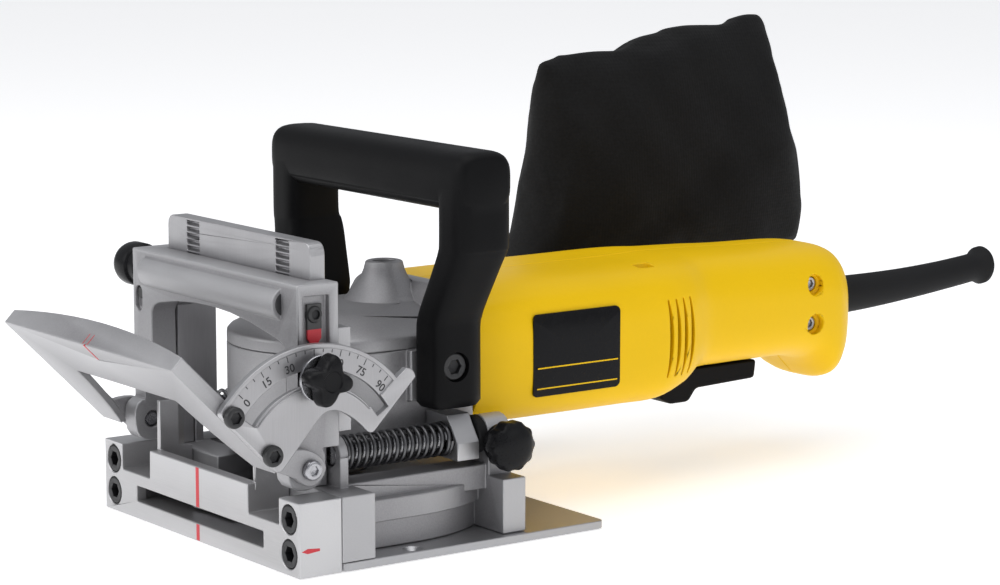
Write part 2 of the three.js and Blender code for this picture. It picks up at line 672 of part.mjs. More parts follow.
function lockButton() {
  const cap = [[0, 74.5], [1.8, 74.5], [1.8, 82], [4, 82], [4, 93], [3.2, 94.2], [0, 94.2]];
  return turned("z", 0, BOSS_Y, cap, 18);
}

function switchPaddle() {
  const outline = rounded(
    [[203, 42], [203, 31], [208, 28.5], [217, 28.5], [221, 33.5], [251, 34.5], [252, 42]], 1.5);
  return prism("x", outline, -12.5, 12.5, 3);
}

// ---- rotating train ----

// A toothed disc between two planes; the teeth taper towards `tip`.
function toothed(axis, u, v, teeth, root, tip, from, to, phase = 0) {
  const shape = new THREE.Shape();
  for (let i = 0; i < teeth; i++) {
    const parts = [[-0.3, root], [-0.14, tip], [0.14, tip], [0.3, root]];
    for (const [offset, r] of parts) {
      const a = ((i + offset + phase) / teeth) * 2 * Math.PI;
      const point = [u + r * Math.cos(a), v + r * Math.sin(a)];
      if (i === 0 && offset === -0.3) shape.moveTo(...point);
      else shape.lineTo(...point);
    }
  }
  return prism(axis, shape.closePath(), from, to);
}

function blade() {
  const teeth = 6;
  const shape = new THREE.Shape();
  for (let i = 0; i < teeth; i++) {
    const a = (i / teeth) * 2 * Math.PI;
    const polar = (r, turn) => [r * Math.cos(a + turn), SPINDLE_Y + r * Math.sin(a + turn)];
    if (i === 0) shape.moveTo(...polar(BLADE_RADIUS, 0));
    else shape.lineTo(...polar(BLADE_RADIUS, 0));
    shape.lineTo(...polar(BLADE_RADIUS - 0.6, 0.12));
    shape.lineTo(...polar(BLADE_RADIUS - 5, 0.3));
    shape.lineTo(...polar(BLADE_RADIUS - 5.5, 0.62));
    shape.lineTo(...polar(BLADE_RADIUS - 11, 0.86));
    shape.lineTo(...polar(BLADE_RADIUS - 12, 0.98));
  }
  const disc = prism("z", shape.closePath(), BLADE_Z - KERF / 2, BLADE_Z + KERF / 2);
  return cut(disc, rod("z", 0, SPINDLE_Y, 11.2, 0, 20));
}

function makeSpindle() {
  const profile = [[0, 4.6], [4, 4.6], [4, 7], [5, 7], [5, 12.2], [5.2, 12.2], [5.2, 45],
    [4, 45], [4, 72.6], [0, 72.6]];
  add("spindle", STEEL, turned("z", 0, SPINDLE_Y, profile, 20));
  add("blade", STEEL, blade());
  const flange = [[5.5, 8], [11, 8], [11, BLADE_Z + 2.2], [13, BLADE_Z + 2.2], [13, 14.6],
    [5.5, 14.6], [5.5, 8]];
  add("blade_flange", STEEL, turned("z", 0, SPINDLE_Y, flange, 20));
  const nut = [[4.3, 4.8], [12, 4.8], [12, 6.7], [4.3, 6.7], [4.3, 4.8]];
  add("blade_nut", BLACKED, turned("z", 0, SPINDLE_Y, nut, 20));
  const gear = toothed("z", 0, SPINDLE_Y, 33, 23, 26, 45.5, 51.5);
  const hub = rod("z", 0, SPINDLE_Y, 10, 39, 46);
  const bore = rod("z", 0, SPINDLE_Y, 5.5, 37, 53);
  add("bevel_gear", STEEL, cut(join(gear, hub), bore));
}

function makeArmature() {
  const profile = [[0, 64], [3.5, 64], [3.5, 80.5], [4.9, 80.5], [4.9, 120], [6, 120],
    [6, 168], [3.9, 168], [3.9, 198], [0, 198]];
  add("armature_shaft", STEEL, turned("y", 0, MOTOR_Z, profile, 16));
  const pinion = toothed("y", 0, MOTOR_Z, 11, 5.9, 8.6, 69, 80, 0.5);
  add("drive_pinion", STEEL, cut(pinion, rod("y", 0, MOTOR_Z, 3.8, 60, 82, 14)));
  const core = rod("y", 0, MOTOR_Z, 22.3, 122, 164, 28);
  add("rotor_core", STEEL, cut(core, rod("y", 0, MOTOR_Z, 6.3, 120, 166, 16)));
  add("commutator", COPPER, bearing("y", 0, MOTOR_Z, 11.8, 4.2, 169, 185));
  const blades = toothed("y", 0, MOTOR_Z, 9, 12, 23.4, 104, 114);
  const backPlate = rod("y", 0, MOTOR_Z, 23.4, 112, 115, 24);
  add("cooling_fan", BLACK,
    cut(join(blades, backPlate), rod("y", 0, MOTOR_Z, 5.2, 100, 118, 16)));
}

// ---- fence carriage: slides up and down on the upright ----

const POST_INNER = 49.65;
const POST_OUTER = 57.5;
const CARRIAGE_FRONT = 7.1;
const CARRIAGE_TOP = 99.8;

function carriageGate() {
  const gate = new THREE.Shape();
  gate.moveTo(POST_OUTER, 60);
  gate.lineTo(POST_OUTER, CARRIAGE_TOP - 1.5);
  gate.quadraticCurveTo(POST_OUTER, CARRIAGE_TOP, POST_OUTER - 1.5, CARRIAGE_TOP);
  gate.lineTo(-POST_OUTER + 1.5, CARRIAGE_TOP);
  gate.quadraticCurveTo(-POST_OUTER, CARRIAGE_TOP, -POST_OUTER, CARRIAGE_TOP - 1.5);
  gate.lineTo(-POST_OUTER, 60);
  gate.lineTo(-44, 60);
  gate.lineTo(-44, 77);
  gate.quadraticCurveTo(-43, 80.5, -38, 81.6);
  gate.quadraticCurveTo(0, 89, 38, 80.6);
  gate.quadraticCurveTo(49, 79, POST_INNER, 76);
  gate.lineTo(POST_INNER, 60);
  return prism("y", gate.closePath(), CARRIAGE_FRONT, 17.4, 6);
}

function fenceCarriage() {
  const bulge = rod("x", 9.4, SHAFT_Z, 6, -48, 47, 20);
  let casting = join(carriageGate(), bulge);
  for (const side of [-1, 1]) {
    const [x0, x1] = side > 0 ? [POST_INNER, POST_OUTER] : [-POST_OUTER, -POST_INNER];
    const post = box(x0, x1, CARRIAGE_FRONT, 24, 42, CARRIAGE_TOP);
    const foot = rounded([[2, 44], [3, 27.8], [17, 27.8], [19, 44]], 7);
    casting = join(casting, post, prism("x", foot, x0, x1, 4));
  }
  const shaftWay = rod("x", SHAFT_Y, SHAFT_Z, 2.8, -60, 42, 16);
  const pinionWays = [-RACK_X, RACK_X].map((x) =>
    rod("x", SHAFT_Y, SHAFT_Z, 5.6, x - 5, x + 5, 20));
  const window = box(POST_OUTER - 2.6, POST_OUTER + 1, 9.6, 20.2, 74, 95.6);
  const pivotWays = [-1, 1].map((side) =>
    rod("x", PIVOT_Y, PIVOT_Z, 3.2, side > 0 ? 46 : -60, side > 0 ? 60 : -46, 16));
  const studWay = rod("x", PIVOT_Y, PIVOT_Z + SLOT_RADIUS, 2.5, 46, 60, 14);
  return cut(casting, shaftWay, ...pinionWays, window, ...pivotWays, studWay);
}

function anglePointer() {
  const outline = polygon([[12.2, 92.5], [12.2, 80.5], [14.6, 77.6], [15.4, 77.6],
    [17.8, 80.5], [17.8, 92.5]]);
  return prism("x", outline, 55.2, 56);
}

function makeCarriage() {
  add("fence_carriage", CAST, fenceCarriage());
  add("angle_pointer", RED, anglePointer());
  // shoulder screws that the fence turns on
  const pivot = socketScrew("x", PIVOT_Y, PIVOT_Z, 3.6, 1.9, 2.9, 63.2, 50.2);
  addPair("pivot_screw", STEEL, pivot);
}

function makeHeightAdjuster() {
  let shaft = rod("x", SHAFT_Y, SHAFT_Z, 2.5, -60.4, 40, 16);
  for (const x of [-RACK_X, RACK_X]) {
    const shape = new THREE.Shape();
    for (let i = 0; i < PINION_TEETH; i++) {
      const tooth = [[-0.26, 3.7], [-0.19, PINION_RADIUS], [-0.1, 5.15], [0.1, 5.15],
        [0.19, PINION_RADIUS], [0.26, 3.7]];
      for (const [offset, r] of tooth) {
        const a = ((i + offset) / PINION_TEETH) * 2 * Math.PI;
        const point = [SHAFT_Y + r * Math.cos(a), SHAFT_Z + r * Math.sin(a)];
        if (i === 0 && offset === -0.26) shape.moveTo(...point);
        else shape.lineTo(...point);
      }
    }
    shaft = join(shaft, prism("x", shape.closePath(), x - 4.3, x + 4.3));
  }
  add("pinion_shaft", STEEL, shaft);
  const dome = [[0, 57.9], [7, 57.9], [7.2, 61.4], [8.2, 62.4], [8.2, 69], [7.4, 71.6],
    [5, 73.4], [0, 74]].map(([r, h]) => [r, -h]);
  const knob = turned("x", SHAFT_Y, SHAFT_Z, dome, 24);
  add("height_knob", BLACK, cut(knob, rod("x", SHAFT_Y, SHAFT_Z, 2.7, -60.8, -50, 16)));
}

// ---- fence: drawn upright about its pivot, then tilted ----

function fencePlate() {
  const face = FENCE_FACE;
  const half = FENCE_HALF_WIDTH;
  const outline = new THREE.Shape();
  outline.moveTo(-half, 10.6);
  outline.lineTo(-half, FENCE_LENGTH);
  outline.lineTo(half, FENCE_LENGTH);
  outline.lineTo(half, 10.6);
  outline.lineTo(47, 10.6);
  outline.quadraticCurveTo(38, 26, 36, 44.5);
  outline.lineTo(-36, 44.5);
  outline.quadraticCurveTo(-38, 26, -47, 10.6);
  const web = prism("y", outline.closePath(), face, face + 2.7, 6);
  const crown = new THREE.Shape();
  crown.moveTo(-half, face);
  crown.lineTo(half, face);
  crown.lineTo(half, face + 6);
  crown.quadraticCurveTo(0, face + 15, -half, face + 6);
  const flange = prism("z", crown.closePath(), FENCE_LENGTH - 3, FENCE_LENGTH, 12);
  const ribs = [-1, 1].flatMap((side) => {
    const [x0, x1] = side > 0 ? [half - 7, half] : [-half, -half + 7];
    const [e0, e1] = side > 0 ? [57.9, half] : [-half, -57.9];
    const eye = new THREE.Shape();
    eye.moveTo(face, 20);
    eye.lineTo(face, 11);
    eye.lineTo(face + 1, 10.4);
    eye.lineTo(-6.2, 3);
    eye.quadraticCurveTo(-6.4, -5.8, 0, -5.8);
    eye.quadraticCurveTo(5.8, -5.8, 5.8, 0);
    eye.quadraticCurveTo(5.6, 8, face + 6, 14);
    eye.lineTo(face + 6, 20);
    return [box(x0, x1, face, face + 6, 12, FENCE_LENGTH), prism("x", eye.closePath(), e0, e1, 6)];
  });
  const pivots = rod("x", 0, 0, 3.2, -70, 70, 16);
  const screws = [18.2, 39.5].map((s) => rod("x", -7.2, s, 2.2, 50, 62, 14));
  const mark = prism("z", polygon([[-0.8, face - 1], [0.8, face - 1], [0, face + 1.2]]),
    FENCE_LENGTH - 8, FENCE_LENGTH + 1);
  return cut(join(web, flange, ...ribs), pivots, ...screws, mark);
}

function sectorPlate() {
  const shape = new THREE.Shape();
  const start = THREE.MathUtils.degToRad(87);
  const end = THREE.MathUtils.degToRad(-4);
  shape.moveTo(FENCE_FACE, 13);
  shape.lineTo(FENCE_FACE, 42);
  shape.quadraticCurveTo(FENCE_FACE, 44.5, -6, 44.5);
  for (let step = 0; step <= 28; step++) {
    const a = start + ((end - start) * step) / 28;
    shape.lineTo(SECTOR_RADIUS * Math.cos(a), SECTOR_RADIUS * Math.sin(a));
  }
  shape.lineTo(49.5, -3.9);
  shape.quadraticCurveTo(51.5, -6.4, 49.5, -9);
  shape.lineTo(25.5, -9);
  shape.quadraticCurveTo(23.4, -9, 23.2, -6.5);
  shape.quadraticCurveTo(23.5, 3, 20.5, 8.5);
  shape.quadraticCurveTo(18, 12, 14, 12);
  shape.lineTo(-7, 11);
  shape.quadraticCurveTo(FENCE_FACE, 11, FENCE_FACE, 13);
  const plate = prism("x", shape.closePath(), 61.3, 64.3, 6);
  const band = (inner, outer, from, to, x0, x1) => {
    const a = THREE.MathUtils.degToRad(from);
    const b = THREE.MathUtils.degToRad(to);
    const arc = new THREE.Shape();
    arc.absarc(0, 0, outer, a, b, true);
    arc.absarc(0, 0, inner, b, a, false);
    return prism("x", arc.closePath(), x0, x1, 18);
  };
  const scale = band(29.4, 42.9, 97, -3.5, 63.6, 65);
  const slot = band(30.3, 35.7, 98, -12, 60, 66);
  const screws = [18.2, 39.5].map((s) => rod("x", -7.2, s, 2.2, 60, 66, 14));
  return cut(plate, scale, slot, ...screws);
}

function makeFence() {
  const fence = new THREE.Group();
  fence.position.set(0, PIVOT_Y, PIVOT_Z);
  fence.rotation.x = THREE.MathUtils.degToRad(FENCE_TILT);
  add("fence", CAST, fencePlate(), fence);
  add("sector_plate", PLATE, sectorPlate(), fence);
  for (const [place, s] of [["lower", 18.2], ["upper", 39.5]]) {
    const screw = socketScrew("x", -7.2, s, 3.9, 2.3, 1.9, 66.8, 52);
    add("sector_screw_" + place, BLACKED, screw, fence);
  }
  joiner.add(fence);
}

function makeBevelLock() {
  const z = PIVOT_Z + SLOT_RADIUS;
  const stud = rod("x", PIVOT_Y, z, 2.2, 50.4, 68.5, 14);
  // its shoulder stands the washer off the plate, clear of the plate's screw heads
  const washer = turned("x", PIVOT_Y, z, [[2.6, 64.6], [5.3, 64.6], [5.3, 66.9], [8.2, 66.9],
    [8.2, 68.1], [2.6, 68.1], [2.6, 64.6]], 20);
  const lobes = 4;
  const shape = new THREE.Shape();
  shape.setFromPoints(Array.from({ length: 40 }, (_, i) => {
    const a = (i / 40) * 2 * Math.PI;
    const r = 7.5 + 1.8 * Math.cos(lobes * a + 0.9);
    return new THREE.Vector2(PIVOT_Y + r * Math.cos(a), z + r * Math.sin(a));
  }));
  const grip = prism("x", shape, 68.9, 76);
  const neck = rod("x", PIVOT_Y, z, 5.2, 68.4, 69, 20);
  add("bevel_washer", STEEL, washer);
  add("bevel_knob", BLACK, join(grip, neck, stud));
}

makeBase();
makeDustBag();
makeMotorUnit();
add("lock_button", BLACK, lockButton());
add("switch_paddle", BLACK, switchPaddle());
makeSpindle();
makeArmature();
makeCarriage();
makeHeightAdjuster();
makeFence();
makeBevelLock();

joiner.position.y = -SPINDLE_Y;
export default joiner;
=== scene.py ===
"""Biscuit joiner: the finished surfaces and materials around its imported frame.

The places below are millimetres measured from the nose face, with +X to the tool's left,
+Y to the rear and +Z up. place() turns them into the frame's metres.
"""

import math

import bmesh
import bpy
from mathutils import Matrix, Vector


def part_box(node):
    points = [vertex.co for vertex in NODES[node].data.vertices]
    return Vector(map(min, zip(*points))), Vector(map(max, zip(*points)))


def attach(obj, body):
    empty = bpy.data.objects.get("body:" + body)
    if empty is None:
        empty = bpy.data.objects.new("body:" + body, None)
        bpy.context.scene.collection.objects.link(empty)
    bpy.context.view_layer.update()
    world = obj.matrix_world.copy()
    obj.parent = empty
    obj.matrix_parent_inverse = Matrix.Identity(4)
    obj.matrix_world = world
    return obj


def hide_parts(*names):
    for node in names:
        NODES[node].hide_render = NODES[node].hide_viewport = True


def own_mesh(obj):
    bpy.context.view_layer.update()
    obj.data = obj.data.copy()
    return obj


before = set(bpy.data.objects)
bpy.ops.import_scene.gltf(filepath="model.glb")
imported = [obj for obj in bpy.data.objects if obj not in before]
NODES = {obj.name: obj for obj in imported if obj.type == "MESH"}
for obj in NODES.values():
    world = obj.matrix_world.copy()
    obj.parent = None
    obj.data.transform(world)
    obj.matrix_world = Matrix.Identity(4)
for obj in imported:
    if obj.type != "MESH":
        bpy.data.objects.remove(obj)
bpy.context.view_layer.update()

MM = 0.001
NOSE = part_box("front_block")[0][1] / MM  # the nose face in the frame

# places that several pieces share
ROD_X = 50
ROD_Z = 37.5
BOSS_Y = 81
SHAFT_Y, SHAFT_Z = 13.95, 92
PIVOT_Y, PIVOT_Z = 10, 35.8
FENCE_ANGLE = math.radians(45)
SLOT_RADIUS = 33
BLADE_Z = 9.5
DEPTH_KNOB = (92, 35)
HANDLE_SCREW = (75, 64)
HANDLE_BAR = (82.3, 130.5)
SCREW_Y, SCREW_HEIGHTS = 267.5, (73, 57)
CORD_Z = 61.5

X, Y, Z = Vector((1, 0, 0)), Vector((0, 1, 0)), Vector((0, 0, 1))


def place(x, y, z):
    return Vector((x, y + NOSE, z)) * MM


# ---- camera, light and floor ----

def aim(obj, back):
    obj.rotation_euler = back.to_track_quat("Z", "Y").to_euler()


def make_camera():
    data = bpy.data.cameras.new("camera")
    data.lens = 111.3
    data.sensor_width = 36
    data.clip_end = 50
    camera = bpy.data.objects.new("camera", data)
    bpy.context.collection.objects.link(camera)
    azimuth, elevation = math.radians(54.3), math.radians(9.0)
    back = Vector((
        math.sin(azimuth) * math.cos(elevation),
        -math.cos(azimuth) * math.cos(elevation),
        math.sin(elevation),
    ))
    camera.location = (0.9458, -0.6017, 0.2629)
    aim(camera, back)
    bpy.context.scene.camera = camera


def area_light(name, position, target, size, power):
    data = bpy.data.lights.new(name, "AREA")
    data.shape = "RECTANGLE"
    data.size, data.size_y = size
    data.energy = power
    light = bpy.data.objects.new(name, data)
    bpy.context.collection.objects.link(light)
    light.location = position
    aim(light, Vector(position) - Vector(target))


def make_light():
    area_light("top_softbox", (0.1, -0.1, 1.5), (0, 0.08, 0), (1.6, 1.6), 12)
    area_light("front_softbox", (-0.5, -1.5, 0.9), (0, 0, 0.05), (1.2, 1.0), 9)
    area_light("side_softbox", (1.7, 0.7, 0.9), (0, 0.1, 0.06), (1.2, 1.0), 3)
    world = bpy.data.worlds.new("studio")
    world.use_nodes = True
    background = world.node_tree.nodes["Background"]
    background.inputs["Color"].default_value = (0.93, 0.95, 1.0, 1)
    background.inputs["Strength"].default_value = 0.4
    bpy.context.scene.world = world
    bpy.context.scene.view_settings.view_transform = "Standard"


def make_floor():
    reach = 15
    mesh = bpy.data.meshes.new("floor")
    corners = [(-reach, -reach, 0), (reach, -reach, 0), (reach, reach, 0), (-reach, reach, 0)]
    mesh.from_pydata(corners, [], [(0, 1, 2, 3)])
    floor = bpy.data.objects.new("floor", mesh)
    bpy.context.collection.objects.link(floor)
    floor.location.z = -0.0003
    paper = Look("floor_paper", (0.88, 0.88, 0.88), rough=(0.6, 0.7), specular=0.2)
    paper.shader.inputs["Emission Color"].default_value = (1, 1, 1, 1)
    paper.shader.inputs["Emission Strength"].default_value = 0.52
    mesh.materials.append(paper.material)


# ---- materials ----

class Look:
    """A procedural material: one Principled shader with colour, roughness and bump detail.

    Sizes are millimetres on the surface. stretch draws the grain out along an axis.
    """

    def __init__(self, name, color, rough, metallic=0.0, blotch=30, blotchy=0.0,
                 grain=0.7, grainy=0.0, bump=0.0, stretch=(1, 1, 1), worn=None, coat=0.0,
                 specular=0.5):
        self.material = bpy.data.materials.new(name)
        self.material.use_nodes = True
        self.material.diffuse_color = (*color, 1)
        self.tree = self.material.node_tree
        self.shader = self.tree.nodes["Principled BSDF"]
        self.set(self.shader, Metallic=metallic)
        self.shader.inputs["Coat Weight"].default_value = coat
        self.shader.inputs["Coat Roughness"].default_value = 0.2
        self.shader.inputs["Specular IOR Level"].default_value = specular
        self.place = self.node("ShaderNodeTexCoord").outputs["Object"]
        broad = self.noise(blotch, detail=3)
        fine = self.noise(grain, detail=2, stretch=stretch)
        tone = self.ramp(broad, self.shade(color, 1 - blotchy), self.shade(color, 1 + blotchy))
        tone = self.mix(tone, fine, self.shade(color, 1 - grainy), self.shade(color, 1 + grainy))
        if worn:
            tone = self.wear(tone, worn)
        self.link(tone, self.shader.inputs["Base Color"])
        self.link(self.spread(broad, fine, *rough), self.shader.inputs["Roughness"])
        if bump:
            self.bump(fine, bump)

    def node(self, kind, **values):
        made = self.tree.nodes.new(kind)
        self.set(made, **values)
        return made

    @staticmethod
    def set(node, **values):
        for key, value in values.items():
            if key in node.inputs:
                node.inputs[key].default_value = value
            else:
                setattr(node, key, value)

    def link(self, source, target):
        self.tree.links.new(source, target)

    @staticmethod
    def shade(color, factor):
        return (*[min(c * factor, 1) for c in color], 1)

    def coordinates(self, size, stretch=(1, 1, 1)):
        mapping = self.node("ShaderNodeMapping")
        mapping.inputs["Scale"].default_value = [1 / (size * MM * s) for s in stretch]
        self.link(self.place, mapping.inputs["Vector"])
        return mapping.outputs["Vector"]

    def noise(self, size, detail=2, stretch=(1, 1, 1)):
        noise = self.node("ShaderNodeTexNoise", Scale=1.0, Detail=detail)
        self.link(self.coordinates(size, stretch), noise.inputs["Vector"])
        return noise.outputs[0]

    def ramp(self, value, low, high, start=0.3, end=0.7):
        ramp = self.node("ShaderNodeValToRGB")
        ramp.color_ramp.elements[0].position = start
        ramp.color_ramp.elements[0].color = low
        ramp.color_ramp.elements[1].position = end
        ramp.color_ramp.elements[1].color = high
        self.link(value, ramp.inputs["Fac"])
        return ramp.outputs["Color"]

    def mix(self, tone, fine, low, high):
        mix = self.node("ShaderNodeMixRGB")
        mix.inputs["Fac"].default_value = 0.5
        self.link(tone, mix.inputs["Color1"])
        self.link(self.ramp(fine, low, high), mix.inputs["Color2"])
        return mix.outputs["Color"]

    def wear(self, tone, color):
        geometry = self.node("ShaderNodeNewGeometry")
        edge = self.node("ShaderNodeMapRange")
        self.link(geometry.outputs["Pointiness"], edge.inputs["Value"])
        edge.inputs["From Min"].default_value = 0.52
        edge.inputs["From Max"].default_value = 0.62
        mix = self.node("ShaderNodeMixRGB")
        self.link(edge.outputs["Result"], mix.inputs["Fac"])
        self.link(tone, mix.inputs["Color1"])
        mix.inputs["Color2"].default_value = (*color, 1)
        return mix.outputs["Color"]

    def spread(self, broad, fine, low, high):
        both = self.node("ShaderNodeMath", operation="ADD")
        self.link(broad, both.inputs[0])
        self.link(fine, both.inputs[1])
        spread = self.node("ShaderNodeMapRange")
        self.link(both.outputs[0], spread.inputs["Value"])
        spread.inputs["From Min"].default_value = 0.7
        spread.inputs["From Max"].default_value = 1.3
        spread.inputs["To Min"].default_value = low
        spread.inputs["To Max"].default_value = high
        return spread.outputs["Result"]

    def bump(self, height, depth, strength=1.0):
        bump = self.node("ShaderNodeBump", Strength=strength, Distance=depth * MM)
        self.link(height, bump.inputs["Height"])
        before = self.shader.inputs["Normal"].links
        if before:
            self.link(before[0].from_socket, bump.inputs["Normal"])
        self.link(bump.outputs["Normal"], self.shader.inputs["Normal"])


def cloth_look():
    """Black plain weave: crossed threads about 1.4 mm apart, a soft sheen, faint mottling."""
    look = Look("bag_cloth_weave", (0.003, 0.003, 0.0033), rough=(0.75, 0.95), blotch=26,
                blotchy=0.35, grain=1.2, grainy=0.3)
    look.set(look.shader, **{"Sheen Weight": 0.04, "Sheen Roughness": 0.5})
    look.shader.inputs["Specular IOR Level"].default_value = 0.25
    for direction in ("Y", "Z"):
        wave = look.node("ShaderNodeTexWave", bands_direction=direction, Scale=1.0, Distortion=0.6)
        look.link(look.coordinates(4.4), wave.inputs["Vector"])
        look.bump(wave.outputs[0], 0.06, 0.5)
    look.bump(look.noise(18, detail=3, stretch=(1, 1.8, 0.8)), 1.6, 0.5)
    return look.material


CAST = (0.345, 0.34, 0.35)
BRIGHT = (0.62, 0.62, 0.63)

LOOKS = {
    "cast_aluminium": Look("cast_aluminium_blasted", CAST, (0.44, 0.60), 0.72, 22, 0.08, 0.6,
                           0.17, 0.06, worn=BRIGHT).material,
    "machined_aluminium": Look("machined_aluminium_brushed", (0.40, 0.395, 0.405), (0.30, 0.46),
                               0.85, 18, 0.05, 0.35, 0.10, 0.02, (1, 1, 30),
                               worn=BRIGHT).material,
    "milled_face": Look("milled_face", (0.50, 0.495, 0.50), (0.32, 0.46), 0.8, 20, 0.05, 0.4,
                        0.10, 0.02, (30, 1, 1), worn=BRIGHT).material,
    "sole_steel": Look("sole_steel_ground", (0.44, 0.44, 0.45), (0.30, 0.44), 0.85, 25, 0.06,
                       0.3, 0.08, 0.015, (1, 40, 1)).material,
    "steel": Look("steel_turned", (0.42, 0.42, 0.44), (0.2, 0.34), 1.0, 14, 0.06, 0.3, 0.08,
                  0.01).material,
    "spring_steel": Look("spring_steel_oiled", (0.13, 0.13, 0.135), (0.28, 0.4), 1.0, 8, 0.1,
                         0.4, 0.1, 0.01).material,
    "rod_steel": Look("rod_steel_ground", (0.27, 0.27, 0.28), (0.2, 0.32), 1.0, 14, 0.08, 0.3,
                      0.08, 0.01).material,
    "blackened_steel": Look("black_oxide", (0.022, 0.022, 0.024), (0.34, 0.5), 0.4, 6, 0.2,
                            0.4, 0.2, 0.015, worn=(0.09, 0.09, 0.09)).material,
    "black_plastic": Look("black_plastic_moulded", (0.005, 0.005, 0.0055), (0.44, 0.58), 0, 40,
                          0.12, 0.45, 0.25, 0.03, specular=0.10).material,
    "glossy_black": Look("black_plastic_glossy", (0.010, 0.010, 0.011), (0.24, 0.36), 0, 20,
                         0.1, 0.8, 0.1, 0.008, specular=0.12).material,
    "yellow_plastic": Look("yellow_plastic_semigloss", (0.93, 0.575, 0.001), (0.34, 0.44), 0, 60,
                           0.03, 1.1, 0.015, 0.006, specular=0.2).material,
    "label_film": Look("label_film_gloss", (0.007, 0.007, 0.008), (0.22, 0.32), 0, 15, 0.1,
                       3.0, 0.05, 0.001, specular=0.12).material,
    "red_paint": Look("red_paint_satin", (0.62, 0.03, 0.045), (0.4, 0.5), 0, 5, 0.08, 0.5,
                      0.06, 0.01).material,
    "dark_ink": Look("scale_ink", (0.03, 0.03, 0.032), (0.45, 0.6), 0, 3, 0.1, 0.4, 0.1,
                     0.004).material,
    "rubber": Look("rubber_matt", (0.016, 0.016, 0.017), (0.55, 0.7), 0, 30, 0.15, 0.5, 0.15,
                   0.02, specular=0.12).material,
    "copper": Look("copper_turned", (0.62, 0.30, 0.17), (0.25, 0.4), 1.0, 10, 0.1, 0.3, 0.08,
                   0.01, (1, 30, 1)).material,
    "bag_cloth": cloth_look(),
}


# ---- making pieces ----

class Shell:
    """Collects closed skins in millimetres and turns them into one object."""

    def __init__(self):
        self.points = []
        self.faces = []

    def skin(self, rings, loop=False):
        """Joins rings of equal count; capped at both ends, or closed on itself as a loop."""
        start, count = len(self.points), len(rings[0])
        for ring_points in rings:
            self.points += ring_points
        last = len(rings) if loop else len(rings) - 1
        for r in range(last):
            a = start + r * count
            b = start + (r + 1) % len(rings) * count
            for i in range(count):
                j = (i + 1) % count
                self.faces.append((a + i, a + j, b + j, b + i))
        if not loop:
            self.faces.append(tuple(start + i for i in reversed(range(count))))
            self.faces.append(tuple(start + last * count + i for i in range(count)))
        return self

    def turned(self, axis, centre, profile, sides=48, loop=False):
        """A solid of revolution; the profile lists (radius, position along the axis)."""
        return self.skin([circle(axis, centre, r, h, sides) for r, h in profile], loop)

    def prism(self, axis, outline, low, high):
        return self.skin([[on_plane(axis, p, h) for p in outline] for h in (low, high)])

    def block(self, x, y, z):
        outline = [(y[0], z[0]), (y[1], z[0]), (y[1], z[1]), (y[0], z[1])]
        return self.prism(0, outline, *x)

    def turn(self, centre, axis, angle):
        matrix = Matrix.Rotation(angle, 3, axis)
        self.points = [matrix @ (p - centre) + centre for p in self.points]
        return self

    def build(self, name):
        mesh = bpy.data.meshes.new(name)
        mesh.from_pydata([place(*p) for p in self.points], [], self.faces)
        work = bmesh.new()
        work.from_mesh(mesh)
        bmesh.ops.recalc_face_normals(work, faces=work.faces)
        work.to_mesh(mesh)
        work.free()
        obj = bpy.data.objects.new(name, mesh)
        bpy.context.collection.objects.link(obj)
        return obj


def on_plane(axis, point, height):
    """A drawn (u, v) point at a height along axis 0, 1 or 2: u and v are the other two axes."""
    u, v = point
    return Vector([(height, u, v), (u, height, v), (u, v, height)][axis])


def circle(axis, centre, radius, height, sides=48):
    step = 2 * math.pi / sides
    return [on_plane(axis, (centre[0] + radius * math.cos(i * step),
                            centre[1] + radius * math.sin(i * step)), height)
            for i in range(sides)]


def polar(axis, centre, radius_at, height, count=72, scale=1.0):
    """A ring whose radius follows a function of the angle."""
    points = []
    for i in range(count):
        a = 2 * math.pi * i / count
        r = radius_at(a) * scale
        points.append(on_plane(axis, (centre[0] + r * math.cos(a), centre[1] + r * math.sin(a)),
                               height))
    return points


def power(value, exponent):
    return math.copysign(abs(value) ** exponent, value)


def ring(centre, across, up, half_width, half_height, square=2.0, count=48):
    """A superellipse; square makes it boxier."""
    points = []
    for i in range(count):
        a = (i + 0.5) / count * 2 * math.pi
        w = power(math.cos(a), 2 / square) * half_width
        h = power(math.sin(a), 2 / square) * half_height
        points.append(centre + across * w + up * h)
    return points


def rounded_rectangle(low, high, radius, steps=6):
    points = []
    corners = [(high[0], high[1], 0), (low[0], high[1], 90), (low[0], low[1], 180),
               (high[0], low[1], 270)]
    for u, v, start in corners:
        cu = u - math.copysign(radius, u - (low[0] + high[0]) / 2)
        cv = v - math.copysign(radius, v - (low[1] + high[1]) / 2)
        for i in range(steps + 1):
            a = math.radians(start + 90 * i / steps)
            points.append((cu + radius * math.cos(a), cv + radius * math.sin(a)))
    return points


def between(rows, t):
    """Smooth (Catmull-Rom) interpolation of rows of numbers at t, counted in rows."""
    i = min(int(t), len(rows) - 2)
    f = t - i
    picked = [rows[max(0, min(len(rows) - 1, i + k))] for k in (-1, 0, 1, 2)]
    out = []
    for a, b, c, d in zip(*picked):
        out.append(0.5 * (2 * b + (c - a) * f + (2 * a - 5 * b + 4 * c - d) * f * f
                          + (3 * b - a - 3 * c + d) * f ** 3))
    return out


def smooth_edges(obj, angle=32):
    for face in obj.data.polygons:
        face.use_smooth = True
    obj.data.set_sharp_from_angle(angle=math.radians(angle))


